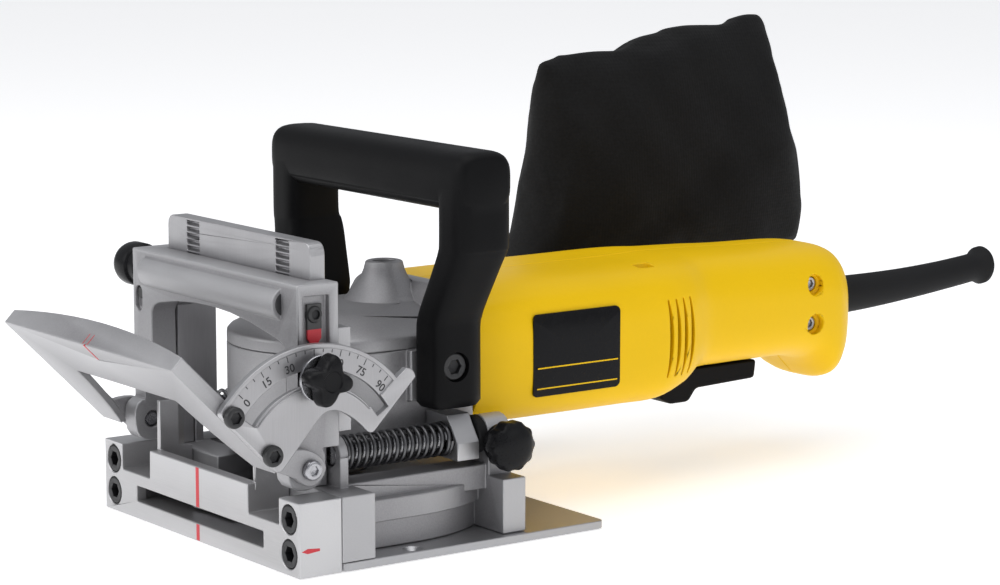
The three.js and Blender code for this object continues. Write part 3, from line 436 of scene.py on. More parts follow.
def soften(obj, width, segments=2, angle=38):
    """Rounds the edges that a cutter or a mould would leave round."""
    bevel = obj.modifiers.new("edges", "BEVEL")
    bevel.width = width * MM
    bevel.segments = segments
    bevel.limit_method = "ANGLE"
    bevel.angle_limit = math.radians(angle)
    bevel.use_clamp_overlap = False
    bevel.miter_outer = "MITER_ARC"
    normals = obj.modifiers.new("normals", "WEIGHTED_NORMAL")
    normals.keep_sharp = True


def settle(obj):
    """Applies an object's modifiers to its mesh."""
    graph = bpy.context.evaluated_depsgraph_get()
    mesh = bpy.data.meshes.new_from_object(obj.evaluated_get(graph))
    obj.modifiers.clear()
    obj.data = mesh


def carve(obj, *tools, operation="DIFFERENCE"):
    """Cuts with, joins or keeps the part inside each tool, and removes the tools."""
    for tool in tools:
        cut = obj.modifiers.new("cut", "BOOLEAN")
        cut.operation = operation
        cut.solver = "EXACT"
        cut.object = tool
    settle(obj)
    for tool in tools:
        bpy.data.objects.remove(tool)
    return obj


def piece(obj, look, body, *nodes, bevel=0.0, sharp=32):
    """Gives a piece its material and edges, and ties it to its body and CAD nodes."""
    obj.data.materials.clear()
    obj.data.materials.append(LOOKS[look])
    smooth_edges(obj, sharp)
    if bevel:
        soften(obj, bevel)
    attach(obj, body)
    if nodes:
        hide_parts(*nodes)
    return obj


def blank(node, flats=True):
    """A cleaned copy of a CAD node: one face for each flat, unless flats hold deep grooves."""
    mesh = NODES[node].data.copy()
    work = bmesh.new()
    work.from_mesh(mesh)
    bmesh.ops.remove_doubles(work, verts=work.verts, dist=0.01 * MM)
    if flats:
        bmesh.ops.dissolve_limit(work, angle_limit=math.radians(0.6), verts=work.verts,
                                 edges=work.edges)
    work.to_mesh(mesh)
    work.free()
    obj = bpy.data.objects.new(node + "_fine", mesh)
    bpy.context.collection.objects.link(obj)
    return obj


def refine(node, look, body, bevel=0.35, cuts=(), flats=True):
    obj = blank(node, flats)
    if cuts:
        carve(obj, *cuts)
    return piece(obj, look, body, node, bevel=bevel)


def coat(look, *nodes):
    """Gives CAD nodes that stay as they are their material."""
    for node in nodes:
        mesh = NODES[node].data
        mesh.materials.clear()
        mesh.materials.append(LOOKS[look])


def tool_rod(axis, centre, radius, low, high, sides=32):
    return Shell().turned(axis, centre, [(radius, low), (radius, high)], sides).build("tool")


def tool_box(x, y, z):
    return Shell().block(x, y, z).build("tool")


def cap_screw(node, axis, sign, look, body, head, shank, key=0.5, dome=0.0):
    """A socket-head screw where its CAD node is: sign tells which way its head faces."""
    low, high = [Vector(c) / MM - Vector((0, NOSE, 0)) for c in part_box(node)]
    others = [i for i in range(3) if i != axis]
    centre = [(low[i] + high[i]) / 2 for i in others]
    radius = (high[others[0]] - low[others[0]]) / 2
    face, tip = (high[axis], low[axis]) if sign > 0 else (low[axis], high[axis])
    apothem = radius * key

    def hexagon(a):
        return apothem / math.cos((a % (math.pi / 3)) - math.pi / 6)

    def round_ring(r, depth):
        return polar(axis, centre, lambda a: r, face - sign * depth, 48)

    def hex_ring(depth, scale=1.0):
        return polar(axis, centre, hexagon, face - sign * depth, 48, scale)

    length = abs(face - tip)
    rim = radius * 0.12 + dome
    rings = [
        round_ring(shank * 0.75, length), round_ring(shank, length - shank * 0.3),
        round_ring(shank, head), round_ring(radius * 0.97, head),
        round_ring(radius, head - 0.15), round_ring(radius, rim),
        round_ring(radius - rim * 0.3, rim * 0.35), round_ring(radius - rim * 0.9, dome * 0.05),
        round_ring(apothem * 1.32, 0), hex_ring(0.12, 1.04), hex_ring(0.3),
        hex_ring(head * 0.6), hex_ring(head * 0.75, 0.3),
    ]
    screw = Shell().skin(rings).build(node + "_fine")
    return piece(screw, look, body, node, sharp=28)


# ---- base ----

def helix_tube(x, z, radius, wire, start, end, turns):
    """A round wire wound about a line along Y, with closed end coils."""
    steps = turns * 28
    rings = []
    for i in range(steps + 1):
        t = i / steps
        a = t * turns * 2 * math.pi
        dead = 1.1 / turns
        open_t = min(max((t - dead) / (1 - 2 * dead), 0), 1)
        ends = (min(t, dead) + max(t - 1 + dead, 0)) * turns * wire * 2.05
        span = end - start - 2 * dead * turns * wire * 2.05
        y = start + ends + span * open_t
        out = Vector((math.cos(a), 0, math.sin(a)))
        middle = Vector((x, y, z)) + out * radius
        rings.append(ring(middle, out, Y, wire, wire, 2, 12))
    return Shell().skin(rings)


def make_springs():
    for side, name in ((1, "left"), (-1, "right")):
        node = "plunge_spring_" + name
        coil = helix_tube(side * ROD_X, ROD_Z, 5.6, 0.72, 28.95, 73.05, 15).build(node + "_fine")
        piece(coil, "spring_steel", "base", node, sharp=60)
        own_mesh(coil)


def make_rods():
    for name in ("left", "right"):
        node = "guide_rod_" + name
        low, high = [Vector(c) / MM - Vector((0, NOSE, 0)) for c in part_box(node)]
        x = (low.x + high.x) / 2
        r = (high.x - low.x) / 2
        profile = [(r - 0.5, low.y), (r, low.y + 0.5), (r, high.y - 0.5), (r - 0.5, high.y)]
        rod = Shell().turned(1, (x, ROD_Z), profile).build(node + "_fine")
        piece(rod, "rod_steel", "base", node, sharp=28)
        bumper = [(4.05, 84.1), (6.6, 84.1), (7, 84.5), (7, 87.4), (6.6, 87.8), (4.05, 87.8)]
        ring_shell = Shell().turned(1, (x, ROD_Z), bumper, loop=True)
        piece(ring_shell.build("rod_bumper_" + name), "rubber", "base", sharp=28)


def flutes(radius, depth, lobes, phase=0.0):
    return lambda a: radius + depth * math.cos(lobes * a + phase)


def make_depth_knob():
    centre = DEPTH_KNOB
    rings = [circle(0, centre, r, x, 72) for r, x in
             ((3, 55.2), (3, 57.4), (6.6, 57.4), (7, 57.9), (7, 61.4))]
    grip = flutes(8.9, 0.35, 10)
    for x, scale in ((61.5, 0.92), (62.0, 0.98), (62.6, 1), (67.0, 1), (67.5, 0.97)):
        rings.append(polar(0, centre, grip, x, 72, scale))
    rings += [circle(0, centre, r, x, 72) for r, x in
              ((8.3, 67.7), (7.7, 68.3), (6.8, 68.9), (5.6, 69.4), (4, 69.8), (2, 70.05), (0.8, 70.1))]
    knob = Shell().skin(rings).build("depth_knob_fine")
    piece(knob, "glossy_black", "depth_selector", "depth_knob", sharp=38)


def make_base():
    refine("sole_plate", "sole_steel", "base", 0.3)
    refine("base_casting", "cast_aluminium", "base", 0.45)
    refine("front_block", "milled_face", "base", 0.4)
    refine("rail_upright", "machined_aluminium", "base", 0.25, flats=False)
    for level in ("lower", "upper"):
        for side in ("left", "right"):
            cap_screw(f"nose_screw_{level}_{side}", 1, -1, "blackened_steel", "base", 6, 3)
    make_rods()
    make_springs()
    make_depth_knob()


def mark(name, shell, body, look="red_paint"):
    return piece(shell.build(name), look, body)


def make_base_marks():
    """The painted centre line across the nose and the cutter-height mark on its side."""
    line = Shell().block((-1.1, 1.1), (-0.04, 0.01), (12.7, 27.2))
    line.block((-1.1, 1.1), (-0.04, 0.01), (0.4, 6.3))
    mark("centre_line", line, "base")
    arrow = [(0.8, BLADE_Z), (3.2, BLADE_Z + 0.9), (8.2, BLADE_Z + 0.45), (8.2, BLADE_Z - 0.45),
             (3.2, BLADE_Z - 0.9)]
    mark("cutter_height_mark", Shell().prism(0, arrow, 68.99, 69.04), "base")


# ---- dust outlet and bag ----

BAG_X = -70
DUCT = [
    # x, y, z of the duct's middle, half width, half height, squareness
    (-21.7, 107.1, 10, 12.7, 6.6, 6),
    (-26.2, 117.5, 10.1, 12.7, 6.6, 5),
    (-36, 131, 14.2, 13, 9.2, 3.5),
    (-51, 147, 21.5, 14, 12, 2.5),
    (-62, 166, 29.5, 15, 14.5, 2.1),
    (-68, 184, 39.5, 15.5, 15.5, 2),
    (BAG_X, 196, 52, 15.5, 15.5, 2),
]
MOUTH = Vector(DUCT[-1][:3])
MOUTH_AXIS = (MOUTH - Vector(DUCT[-2][:3])).normalized()


def duct_rings(wall, stretch):
    """Sections of the duct, evenly between its stations."""
    steps = 5 * (len(DUCT) - 1)
    rings = []
    for k in range(steps + 1):
        t = k * (len(DUCT) - 1) / steps
        x, y, z, half_width, half_height, square = between(DUCT, t)
        ahead = between(DUCT, min(t + 0.3, len(DUCT) - 1))
        behind = between(DUCT, max(t - 0.3, 0))
        along = (Vector(ahead[:3]) - Vector(behind[:3])).normalized()
        if k == 0:
            along.z = 0
            along.normalize()
        across = along.cross(Z).normalized()
        up = across.cross(along).normalized()
        push = -stretch if k == 0 else stretch if k == steps else 0
        middle = Vector((x, y, z)) + along * push
        rings.append(ring(middle, across, up, half_width - wall, half_height - wall, square, 48))
    return rings


def mouth_ring(radius, distance, count=48):
    across = MOUTH_AXIS.cross(Z).normalized()
    up = across.cross(MOUTH_AXIS).normalized()
    return ring(MOUTH + MOUTH_AXIS * distance, across, up, radius, radius, 2, count)


def make_spout():
    outer, inner = duct_rings(0, 0), duct_rings(2, 0)
    duct = Shell().skin(outer + inner[::-1], loop=True).build("dust_spout_fine")
    piece(duct, "black_plastic", "base", "dust_spout", sharp=40)
    profile = [(15.8, -8), (18.0, -8), (18.2, -7.6), (18.2, -0.4), (17.6, 0), (17.6, 2),
               (18.2, 2.4), (18.2, 8.6), (17.8, 9), (15.8, 9)]
    collar = Shell().skin([mouth_ring(r, d) for r, d in profile], loop=True)
    piece(collar.build("bag_collar_fine"), "black_plastic", "base", "bag_collar", sharp=35)


# Side view of the hanging bag: the front and rear edges as (height, y), and the top seam
# as (y, height).
BAG_FRONT = [(70, 189), (88, 195), (100, 198), (115, 200), (132, 201), (146, 202), (157, 203),
             (170, 204)]
BAG_REAR = [(70, 336), (85, 341), (97, 341), (113, 338), (129, 332), (147, 325), (166, 324),
            (182, 327)]
BAG_SEAM = [(196, 157), (203, 161.5), (214, 163.5), (232, 164.5), (250, 168.5), (270, 172.5),
            (292, 174), (310, 177.5), (320, 178.5), (328, 175)]
BAG_HALF = [(0, 18), (0.2, 20.5), (0.45, 20.5), (0.68, 17), (0.84, 12), (0.94, 6.5), (1, 1.6)]
BAG_BOTTOM = 75
# each upright edge, with the y at which its top meets the seam
BAG_EDGES = ((BAG_FRONT, 201), (BAG_REAR, 327))


def lookup(table, at):
    """Straight interpolation in a table of (position, value)."""
    if at <= table[0][0]:
        return table[0][1]
    for (a, p), (b, q) in zip(table, table[1:]):
        if at <= b:
            return p + (q - p) * (at - a) / (b - a)
    return table[-1][1]


def bag_ring(t, count=64):
    """A level section of the bag, from its bottom (t = 0) to its top seam (t = 1)."""
    half = lookup(BAG_HALF, t)
    ends = []
    for table, top_y in BAG_EDGES:
        height = BAG_BOTTOM + (lookup(BAG_SEAM, top_y) - BAG_BOTTOM) * t
        ends.append(lookup(table, height))
    middle, reach = (ends[0] + ends[1]) / 2, (ends[1] - ends[0]) / 2
    square = 5 - 1.5 * t
    points = ring(Vector((BAG_X, middle, 0)), X, Y, half, reach, square, count)
    for point in points:
        top = lookup(BAG_SEAM, point.y)
        point.z = BAG_BOTTOM + (top - BAG_BOTTOM) * t
    return points


def bag_blank():
    neck = [mouth_ring(r, d, 64) for r, d in ((20.2, 0.5), (20.2, 6), (20.8, 11))]
    neck = [turned_ring(points, 48) for points in neck]
    levels = [bag_ring(t) for t in (0, 0.08, 0.18, 0.3, 0.42, 0.54, 0.66, 0.77, 0.86, 0.93, 0.975, 1)]
    return Shell().skin(neck + levels).build("dust_bag_fine")


def turned_ring(points, shift):
    """The same ring, started further round, so that a skin to the next one doesn't twist."""
    return points[shift:] + points[:shift]


def puff(obj, pressure=3.0, frames=16, cap=7.0):
    """Inflates a closed cloth shell, held at its neck, and applies the result.

    No point ends further than cap millimetres from where it began.
    """
    start = [v.co.copy() for v in obj.data.vertices]
    group = obj.vertex_groups.new(name="held")
    neck = place(*(MOUTH + MOUTH_AXIS * 8))
    for vertex in obj.data.vertices:
        if (vertex.co - neck).length < 26 * MM:
            group.add([vertex.index], 1.0, "REPLACE")
    modifier = obj.modifiers.new("cloth", "CLOTH")
    cloth = modifier.settings
    cloth.quality = 5
    cloth.mass = 0.2
    cloth.tension_stiffness = 12
    cloth.compression_stiffness = 8
    cloth.bending_stiffness = 0.3
    cloth.use_pressure = True
    cloth.uniform_pressure_force = pressure
    cloth.effector_weights.gravity = 0
    cloth.vertex_group_mass = "held"
    modifier.point_cache.frame_end = frames
    scene = bpy.context.scene
    for step in range(1, frames + 1):
        scene.frame_set(step)
    settle(obj)
    scene.frame_set(1)
    for vertex, before in zip(obj.data.vertices, start):
        move = vertex.co - before
        if move.length > cap * MM:
            vertex.co = before + move * (cap * MM / move.length)


def wrinkle(obj):
    """Draws the loose cloth into shallow folds that fan out from the neck and the top seam."""
    origin = place(*MOUTH)
    obj.data.update()
    for vertex in obj.data.vertices:
        offset = (vertex.co - origin) / MM
        distance = offset.length
        slope = math.atan2(offset.z, offset.y)
        fade = min(max((distance - 24) / 30, 0), 1)
        fan = math.sin(slope * 23 + distance * 0.03) * math.exp(-distance / 70)
        hang = math.sin(offset.y * 0.21 + offset.z * 0.13 + 0.6 * math.sin(offset.z * 0.09))
        sway = math.sin(offset.y * 0.085 - offset.z * 0.05 + 1.2)
        vertex.co += vertex.normal * MM * fade * (1.1 * fan + 0.35 * hang + 0.9 * sway)


def make_bag():
    bag = bag_blank()
    remesh = bag.modifiers.new("remesh", "REMESH")
    remesh.mode = "VOXEL"
    remesh.voxel_size = 4.5 * MM
    settle(bag)
    puff(bag)
    wrinkle(bag)
    subdivide = bag.modifiers.new("smooth", "SUBSURF")
    subdivide.levels = subdivide.render_levels = 1
    settle(bag)
    pocket = Shell().skin([mouth_ring(18.7, -12), mouth_ring(18.7, 9.3)]).build("tool")
    carve(bag, pocket)
    piece(bag, "bag_cloth", "base", "dust_bag", sharp=80)
    band = [(20.6, 1.2), (21.6, 1.5), (21.9, 4.0), (21.6, 6.5), (20.6, 6.8)]
    strap = Shell().skin([mouth_ring(r, d) for r, d in band + [(19.6, 6.4), (19.6, 1.6)]], loop=True)
    piece(strap.build("bag_band"), "rubber", "base", sharp=40)


# ---- motor unit ----

def make_gear_head():
    refine("gear_case", "cast_aluminium", "motor_unit", 0.5)
    refine("gear_cover", "cast_aluminium", "motor_unit", 0.5)
    refine("slide_lug_left", "machined_aluminium", "motor_unit", 0.35)
    refine("slide_lug_right", "machined_aluminium", "motor_unit", 0.35)
    cap = [(1.8, 74.5), (1.8, 82), (4, 82), (4, 92.8), (3.6, 93.7), (3.0, 94.1), (1.2, 94.2)]
    button = Shell().turned(2, (0, BOSS_Y), cap).build("lock_button_fine")
    piece(button, "glossy_black", "spindle_lock", "lock_button")


# Level sections of the handle's left leg: z, x, y, half width in x, half depth in y, flare;
# flare is how much deeper its rear runs on the side towards the motor.
HANDLE_LEG = [
    (49, 47.8, 75.9, 7.9, 9.9, 1), (63, 47.8, 75.9, 7.9, 9.9, 1), (77, 47.8, 75.9, 7.9, 9.9, 1),
    (81, 48.2, 76.3, 7.9, 10, 1), (85, 49.3, 77, 8, 10.2, 0.9), (93, 51.8, 79, 8.1, 10.7, 0.62),
    (101, 54.2, 81, 8.3, 11.2, 0.35), (105, 55.4, 82, 8.5, 11.6, 0.15),
    (109, 56, 82.3, 8.6, 11.8, 0), (128, 56, 82.3, 8.6, 11.8, 0),
]
HANDLE_END = [(50, 1), (58.4, 1), (60.4, 0.985), (62, 0.955), (63.4, 0.9), (64.3, 0.83),
              (64.8, 0.74)]


def handle_leg(side):
    rings = []
    for k in range(6 * (len(HANDLE_LEG) - 1) + 1):
        z, x, y, half_x, half_y, flare = between(HANDLE_LEG, k / 6)
        foot = 1 - 0.12 * max(0, 1 - (z - HANDLE_LEG[0][0]) / 1.6) ** 2
        section = ring(Vector((x, y, z)), X, Y, half_x * foot, half_y * foot, 4, 48)
        for point in section:
            if point.y > y:
                point.y = y + (point.y - y) * (1 + flare * (1 - (point.x - x) / half_x) / 2)
            point.x *= side
        rings.append(section)
    return Shell().skin(rings)


def make_handle():
    ends = [(-x, scale) for x, scale in HANDLE_END[::-1]] + HANDLE_END
    bar = [ring(Vector((x, *HANDLE_BAR)), Y, Z, 11.8 * scale, 11 * scale, 3.4, 48)
           for x, scale in ends]
    handle = Shell().skin(bar).build("handle_fine")
    legs = [handle_leg(side).build("tool") for side in (-1, 1)]
    carve(handle, *legs, operation="UNION")
    tools = []
    for side in (-1, 1):
        tools.append(tool_rod(0, HANDLE_SCREW, 2.8, *sorted((side * 38, side * 62))))
        tools.append(tool_rod(0, HANDLE_SCREW, 5.4, *sorted((side * 51.2, side * 62)), 48))
    carve(handle, *tools)
    piece(handle, "black_plastic", "motor_unit", "handle", sharp=40)
    for name, sign in (("left", 1), ("right", -1)):
        cap_screw("handle_screw_" + name, 0, sign, "blackened_steel", "motor_unit", 3, 2.5)


# Motor housing from front to rear: y, bottom, top, half width, squareness.
HOUSING = [
    (95.5, 35.2, 87.6, 39.5, 4), (108, 34.2, 88.3, 41, 4), (140, 34, 88.4, 41, 4),
    (170, 34, 88.4, 41, 4), (186, 34.2, 88.5, 40.9, 4), (200, 37.3, 89, 37.5, 3.6),
    (211, 42, 88.8, 32.8, 3.2), (230, 42.4, 88.3, 31.9, 3), (247, 42.4, 87.4, 31.5, 3),
    (264, 42, 87, 31, 3), (274, 39.5, 86.8, 30.6, 3), (281, 32.5, 86.4, 30, 3),
    (286, 31, 85.5, 28, 3), (290.5, 36, 83.4, 24, 2.8), (295, 45.5, 78.5, 17.5, 2.4),
    (298.5, 54, 71, 10, 2),
]


def housing_at(y):
    """The housing's bottom, top, half width and squareness at y."""
    rows = [row[1:] for row in HOUSING]
    for i in range(len(HOUSING) - 1):
        a, b = HOUSING[i][0], HOUSING[i + 1][0]
        if y <= b or i == len(HOUSING) - 2:
            return between(rows, i + min(max((y - a) / (b - a), 0), 1))


def housing_rings(wall):
    stations = []
    for a, b in zip(HOUSING, HOUSING[1:]):
        steps = max(2, round((b[0] - a[0]) / 3))
        stations += [a[0] + (b[0] - a[0]) * k / steps for k in range(steps)]
    stations.append(HOUSING[-1][0])
    rings = []
    for i, y in enumerate(stations):
        bottom, top, half, square = housing_at(y)
        shift = 0
        inset = wall
        if wall and i == 0:
            shift = -2
        if wall and i == len(stations) - 1:
            shift, inset = -3, min(wall, 4)
        half_height = max((top - bottom) / 2 - inset, 1)
        rings.append(ring(Vector((0, y + shift, (top + bottom) / 2)), X, Z,
                          max(half - inset, 1), half_height, square, 72))
    return rings


def side_of_housing(y, z):
    """The housing's half width at a height z."""
    bottom, top, half, square = housing_at(y)
    lift = min(abs(z - (top + bottom) / 2) / ((top - bottom) / 2), 0.999)
    return half * (1 - lift ** square) ** (1 / square)


def vent_tool(index):
    """A slim curved slot through both sides."""
    rings = []
    for k in range(13):
        z = 46 + 30 * k / 12
        bow = 1.6 * math.cos((z - 61) / 30 * math.pi)
        half = 0.25 + 0.75 * math.sin(math.pi * (k + 0.4) / 12.8)
        y = 184 + 4.2 * index + bow
        rings.append([Vector((x, y + s * half, z)) for x, s in
                      ((-50, -1), (50, -1), (50, 1), (-50, 1))])
    return Shell().skin(rings).build("tool")


def screw_bore(z):
    """The stepped bore of a housing screw, open on the left."""
    profile = [(5.0, 34), (4.4, 30.6), (4.1, 29.6), (4.1, 27), (3.1, 26.8), (3.1, 24),
               (1.9, 24), (1.9, -15)]
    return Shell().turned(0, (SCREW_Y, z), profile).build("tool")


def hollow_housing():
    """Both halves of the housing as one shell, with its openings, screw posts and bores."""
    shell = Shell().skin(housing_rings(0)).build("housing")
    inside = Shell().skin(housing_rings(2.6)).build("tool")
    paddle_way = Shell().prism(2, rounded_rectangle((-13, 201), (13, 254), 3), 20, 47).build("tool")
    cord_way = tool_rod(1, (0, CORD_Z), 6.4, 287.5, 302.5, 40)
    latch = Shell().skin([
        [Vector((x, y, 96)) for x, y in ((19, 178), (30, 178), (30, 190), (19, 190))],
        [Vector((x, y, 84)) for x, y in ((23, 181), (26, 181), (26, 187), (23, 187))],
    ]).build("tool")
    carve(shell, inside, paddle_way, cord_way, latch, *[vent_tool(i) for i in range(4)])
    posts = [tool_rod(0, (SCREW_Y, z), 5.4, -27.4, 27.4) for z in SCREW_HEIGHTS]
    carve(shell, *posts, operation="UNION")
    return carve(shell, *[screw_bore(z) for z in SCREW_HEIGHTS])


def make_housing():
    shell = hollow_housing()
    right = shell.copy()
    right.data = shell.data.copy()
    bpy.context.collection.objects.link(right)
    shell.name, right.name = "housing_left_fine", "housing_right_fine"
    carve(shell, tool_box((0.15, 60), (90, 320), (0, 110)), operation="INTERSECT")
    carve(right, tool_box((-60, -0.15), (90, 320), (0, 110)), operation="INTERSECT")
    piece(shell, "yellow_plastic", "motor_unit", "housing_left", bevel=0.3, sharp=35)
    piece(right, "yellow_plastic", "motor_unit", "housing_right", bevel=0.3, sharp=35)
    for level in ("upper", "lower"):
        cap_screw("housing_screw_" + level, 0, 1, "steel", "motor_unit", 2.2, 1.6)


def housing_film(name, outline, look, lift, thickness, nodes=()):
    """A thin plate that follows the housing's left side; the outline lists (y, z)."""
    count = len(outline)
    centre = (sum(p[0] for p in outline) / count, sum(p[1] for p in outline) / count)

    def sheet(scale, height):
        points = []
        for y, z in outline:
            py = centre[0] + (y - centre[0]) * scale
            pz = centre[1] + (z - centre[1]) * scale
            points.append(Vector((side_of_housing(py, pz) + height, py, pz)))
        return points

    scales = (0.02, 0.3, 0.6, 0.85, 1)
    rings = [sheet(s, lift) for s in scales] + [sheet(s, lift + thickness) for s in scales[::-1]]
    film = Shell().skin(rings).build(name)
    return piece(film, look, "motor_unit", *nodes)


def make_label():
    outline = rounded_rectangle((119.5, 45.5), (160, 76.5), 2)
    housing_film("label_plate_fine", outline, "label_film", 0.3, 0.6, ["label_plate"])
    for index, z in enumerate((48.6, 56.4)):
        line = [(121 + 3.75 * k, z - 0.25) for k in range(11)]
        line += [(158.5 - 3.75 * k, z + 0.25) for k in range(11)]
        housing_film(f"label_line_{index + 1}", line, "yellow_plastic", 0.88, 0.05)


def make_cord_protector():
    stations = [(-9, 6), (-6, 6), (0.8, 6), (1, 7.6), (1.4, 8), (22, 7.4), (44, 6.7), (66, 6.2),
                (83, 6), (86, 6.6), (88, 8), (89.6, 8), (90.5, 7.4)]
    line = []
    for (a, r), (b, s) in zip(stations, stations[1:]):
        steps = max(1, round((b - a) / 3))
        line += [(a + (b - a) * k / steps, r + (s - r) * k / steps) for k in range(steps)]
    line.append(stations[-1])

    def station(d, r):
        middle = Vector((0, HOUSING[-1][0] + d, CORD_Z + 0.0007 * max(d, 0) ** 2))
        return ring(middle, X, Z, r, r, 2, 40)

    inner = [(90.5, 3.9), (89.5, 3.6), (60, 3.6), (30, 3.6), (-9, 3.6)]
    sleeve = Shell().skin([station(d, r) for d, r in line + inner], loop=True)
    piece(sleeve.build("cord_protector_fine"), "rubber", "motor_unit", "cord_protector")


def make_motor_unit():
    make_gear_head()
    make_handle()
    make_housing()
    make_label()
    make_cord_protector()
    refine("switch_paddle", "black_plastic", "switch", 0.9)
    coat("steel", "stator", "spindle_bearing_lower", "spindle_bearing_upper",
         "motor_bearing_front", "motor_bearing_rear")
    coat("black_plastic", "brush_ring", "switch_body")


def make_rotors():
    coat("steel", "spindle", "blade_flange", "bevel_gear", "armature_shaft", "drive_pinion",
         "rotor_core")
    refine("blade", "steel", "cutter", 0.15)
    coat("blackened_steel", "blade_nut")
    coat("copper", "commutator")
    coat("black_plastic", "cooling_fan")


# ---- fence carriage and fence ----

def make_carriage():
    oval = Shell().skin([
        [Vector((-53.5 + 2.5 * c, y, 81.3 + 2.5 * s + lift)) for c, s, lift in slot_points()]
        for y in (5, 9)
    ]).build("tool")
    refine("fence_carriage", "cast_aluminium", "carriage", 0.45, cuts=(oval,))
    gib = Shell().turned(1, (-53.5, 83.2), [(2.0, 10), (2.2, 9.8), (2.2, 8.2), (1.9, 7.9)])
    piece(gib.build("gib_screw"), "blackened_steel", "carriage")
    button = [(1.6, 54.6), (3.2, 54.95), (3.2, 55.8), (2.7, 56.7), (1.7, 57.1), (1.5, 56.2)]
    screw = Shell().turned(0, (15, 89), button).build("pointer_screw")
    piece(screw, "blackened_steel", "carriage")
    refine("angle_pointer", "red_paint", "carriage", 0.08)
    shield = Shell().block((55.12, 56.08), (12.1, 17.9), (83.8, 92.6))
    piece(shield.build("pointer_shield"), "blackened_steel", "carriage", bevel=0.06)
    plug = Shell().turned(0, (9.4, 92), [(4.6, 46.8), (4.6, 47.1), (4.2, 47.3), (1, 47.35)])
    piece(plug.build("shaft_plug"), "blackened_steel", "carriage")
    for name, sign in (("left", 1), ("right", -1)):
        cap_screw("pivot_screw_" + name, 0, sign, "steel", "carriage", 1.9, 2.9, key=0.42, dome=0.4)


def slot_points():
    """An upright slot's outline as (cos, sin, lift) steps."""
    points = []
    for i in range(24):
        a = 2 * math.pi * i / 24
        points.append((math.cos(a), math.sin(a), 2.2 if math.sin(a) > 0 else -2.2))
    return points


def make_height_adjuster():
    refine("pinion_shaft", "steel", "height_adjuster", 0.1)
    profile = [(2.7, 57.9), (6.8, 57.9), (7, 58.1), (7.2, 61.4), (8.0, 62.1), (8.2, 62.5),
               (8.2, 68.9), (8.0, 69.9), (7.4, 71.4), (6.4, 72.6), (5, 73.4), (2.8, 73.9), (0.8, 74)]
    knob = Shell().turned(0, (SHAFT_Y, SHAFT_Z), [(r, -x) for r, x in profile], 64)
    piece(knob.build("height_knob_fine"), "glossy_black", "height_adjuster", "height_knob")


def tilted(shell):
    """Turns a shape drawn on the upright fence to the fence's resting tilt."""
    return shell.turn(Vector((0, PIVOT_Y, PIVOT_Z)), "X", FENCE_ANGLE)


def fence_point(x, t, s):
    return Vector((x, PIVOT_Y + t, PIVOT_Z + s))


def number(text, degrees):
    """A printed number on the angle scale, its top towards the rim."""
    curve = bpy.data.curves.new("number", "FONT")
    curve.body = text
    curve.size = 4.0
    curve.align_x = "CENTER"
    curve.align_y = "CENTER"
    curve.offset = 0.06
    curve.extrude = 0.02
    obj = bpy.data.objects.new("number", curve)
    bpy.context.collection.objects.link(obj)
    graph = bpy.context.evaluated_depsgraph_get()
    mesh = bpy.data.meshes.new_from_object(obj.evaluated_get(graph))
    bpy.data.objects.remove(obj)
    a = math.radians(90 - degrees) + FENCE_ANGLE
    out = Vector((0, math.cos(a), math.sin(a)))
    right = Vector((0, math.sin(a), -math.cos(a)))
    centre = Vector((63.62, PIVOT_Y, PIVOT_Z)) + out * 38.0
    points = [centre + right * v.co.x + out * v.co.y + X * v.co.z for v in mesh.vertices]
    return points, [tuple(face.vertices) for face in mesh.polygons]


def make_scale():
    ink = Shell()
    for degrees in range(0, 91, 15):
        points, faces = number(str(degrees), degrees)
        start = len(ink.points)
        ink.points += points
        ink.faces += [tuple(start + i for i in face) for face in faces]
    for degrees in range(0, 91, 5):
        a = math.radians(90 - degrees) + FENCE_ANGLE
        out = Vector((0, math.cos(a), math.sin(a)))
        right = Vector((0, math.sin(a), -math.cos(a)))
        inner = 40.4 if degrees % 15 == 0 else 41.4
        pivot = Vector((0, PIVOT_Y, PIVOT_Z))
        rings = []
        for x in (63.58, 63.64):
            rings.append([pivot + X * x + out * r + right * w
                          for r, w in ((inner, -0.17), (42.6, -0.17), (42.6, 0.17), (inner, 0.17))])
        ink.skin(rings)
    mark("angle_scale", ink, "tilting_fence", "dark_ink")


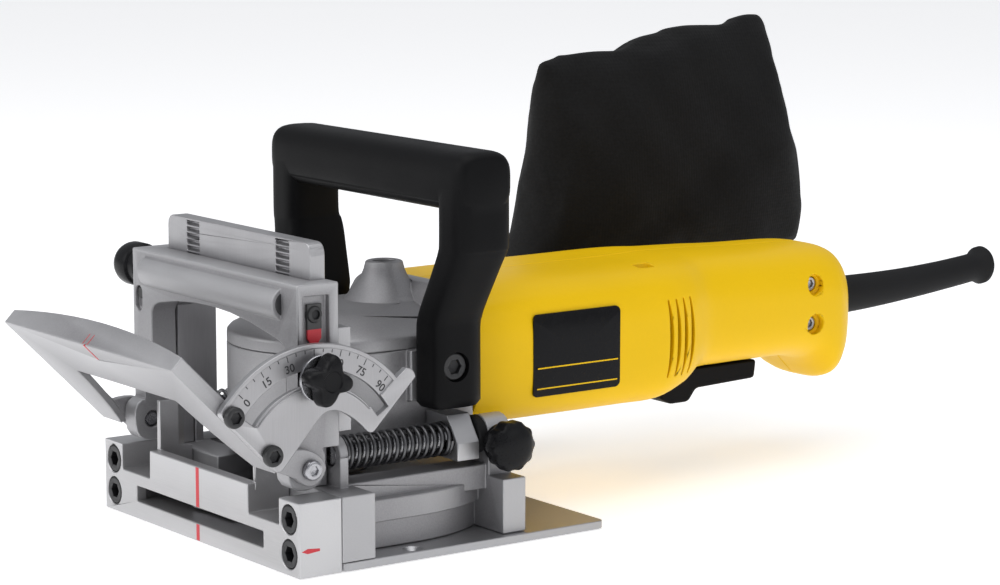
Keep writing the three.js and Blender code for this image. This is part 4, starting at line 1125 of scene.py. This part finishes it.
def make_fence():
    refine("fence", "cast_aluminium", "tilting_fence", 0.4)
    refine("sector_plate", "machined_aluminium", "tilting_fence", 0.3)
    for name in ("lower", "upper"):
        cap_screw("sector_screw_" + name, 0, 1, "blackened_steel", "tilting_fence", 2.3, 1.9,
                  dome=0.5)
    make_scale()
    end, face = 67.2, -10
    notch = Shell()
    notch.skin([[fence_point(x, face + t, s) for x, t in ((-0.55, -0.03), (0.55, -0.03), (0, 0.8))]
                for s in (end - 7.9, end + 0.03)])
    for x in (-1.6, 1.6):
        notch.skin([[fence_point(x + w, face + t, end + d) for w, t in
                     ((-0.2, 0.6), (0.2, 0.6), (0.2, 5), (-0.2, 5))] for d in (-0.05, 0.04)])
    mark("fence_centre_mark", tilted(notch), "tilting_fence")


def make_bevel_knob():
    centre = (PIVOT_Y, PIVOT_Z + SLOT_RADIUS)
    star = flutes(7.5, 1.8, 4, 0.9)
    rings = [circle(0, centre, r, x, 72) for r, x in
             ((1.8, 50.4), (2.2, 50.8), (2.2, 68.4), (5.2, 68.4), (5.2, 68.9))]
    for x, scale in ((68.9, 0.93), (69.3, 0.98), (69.8, 1), (73.6, 0.98), (74.8, 0.94),
                     (75.6, 0.87), (76, 0.78)):
        rings.append(polar(0, centre, star, x, 72, scale))
    rings += [circle(0, centre, 3.8, 75.95, 72), circle(0, centre, 3.4, 75.4, 72),
              circle(0, centre, 1, 75.3, 72)]
    knob = Shell().skin(rings).build("bevel_knob_fine")
    piece(knob, "glossy_black", "bevel_lock", "bevel_knob", sharp=38)
    profile = [(2.6, 64.6), (5.2, 64.6), (5.3, 64.8), (5.3, 66.9), (8.0, 66.9), (8.2, 67.1),
               (8.2, 67.9), (8.0, 68.1), (2.6, 68.1)]
    washer = Shell().turned(0, centre, profile, loop=True).build("bevel_washer_fine")
    piece(washer, "steel", "bevel_lock", "bevel_washer")


make_camera()
make_light()
make_floor()
make_base()
make_base_marks()
make_spout()
make_bag()
make_motor_unit()
make_rotors()
make_carriage()
make_height_adjuster()
make_fence()
make_bevel_knob()
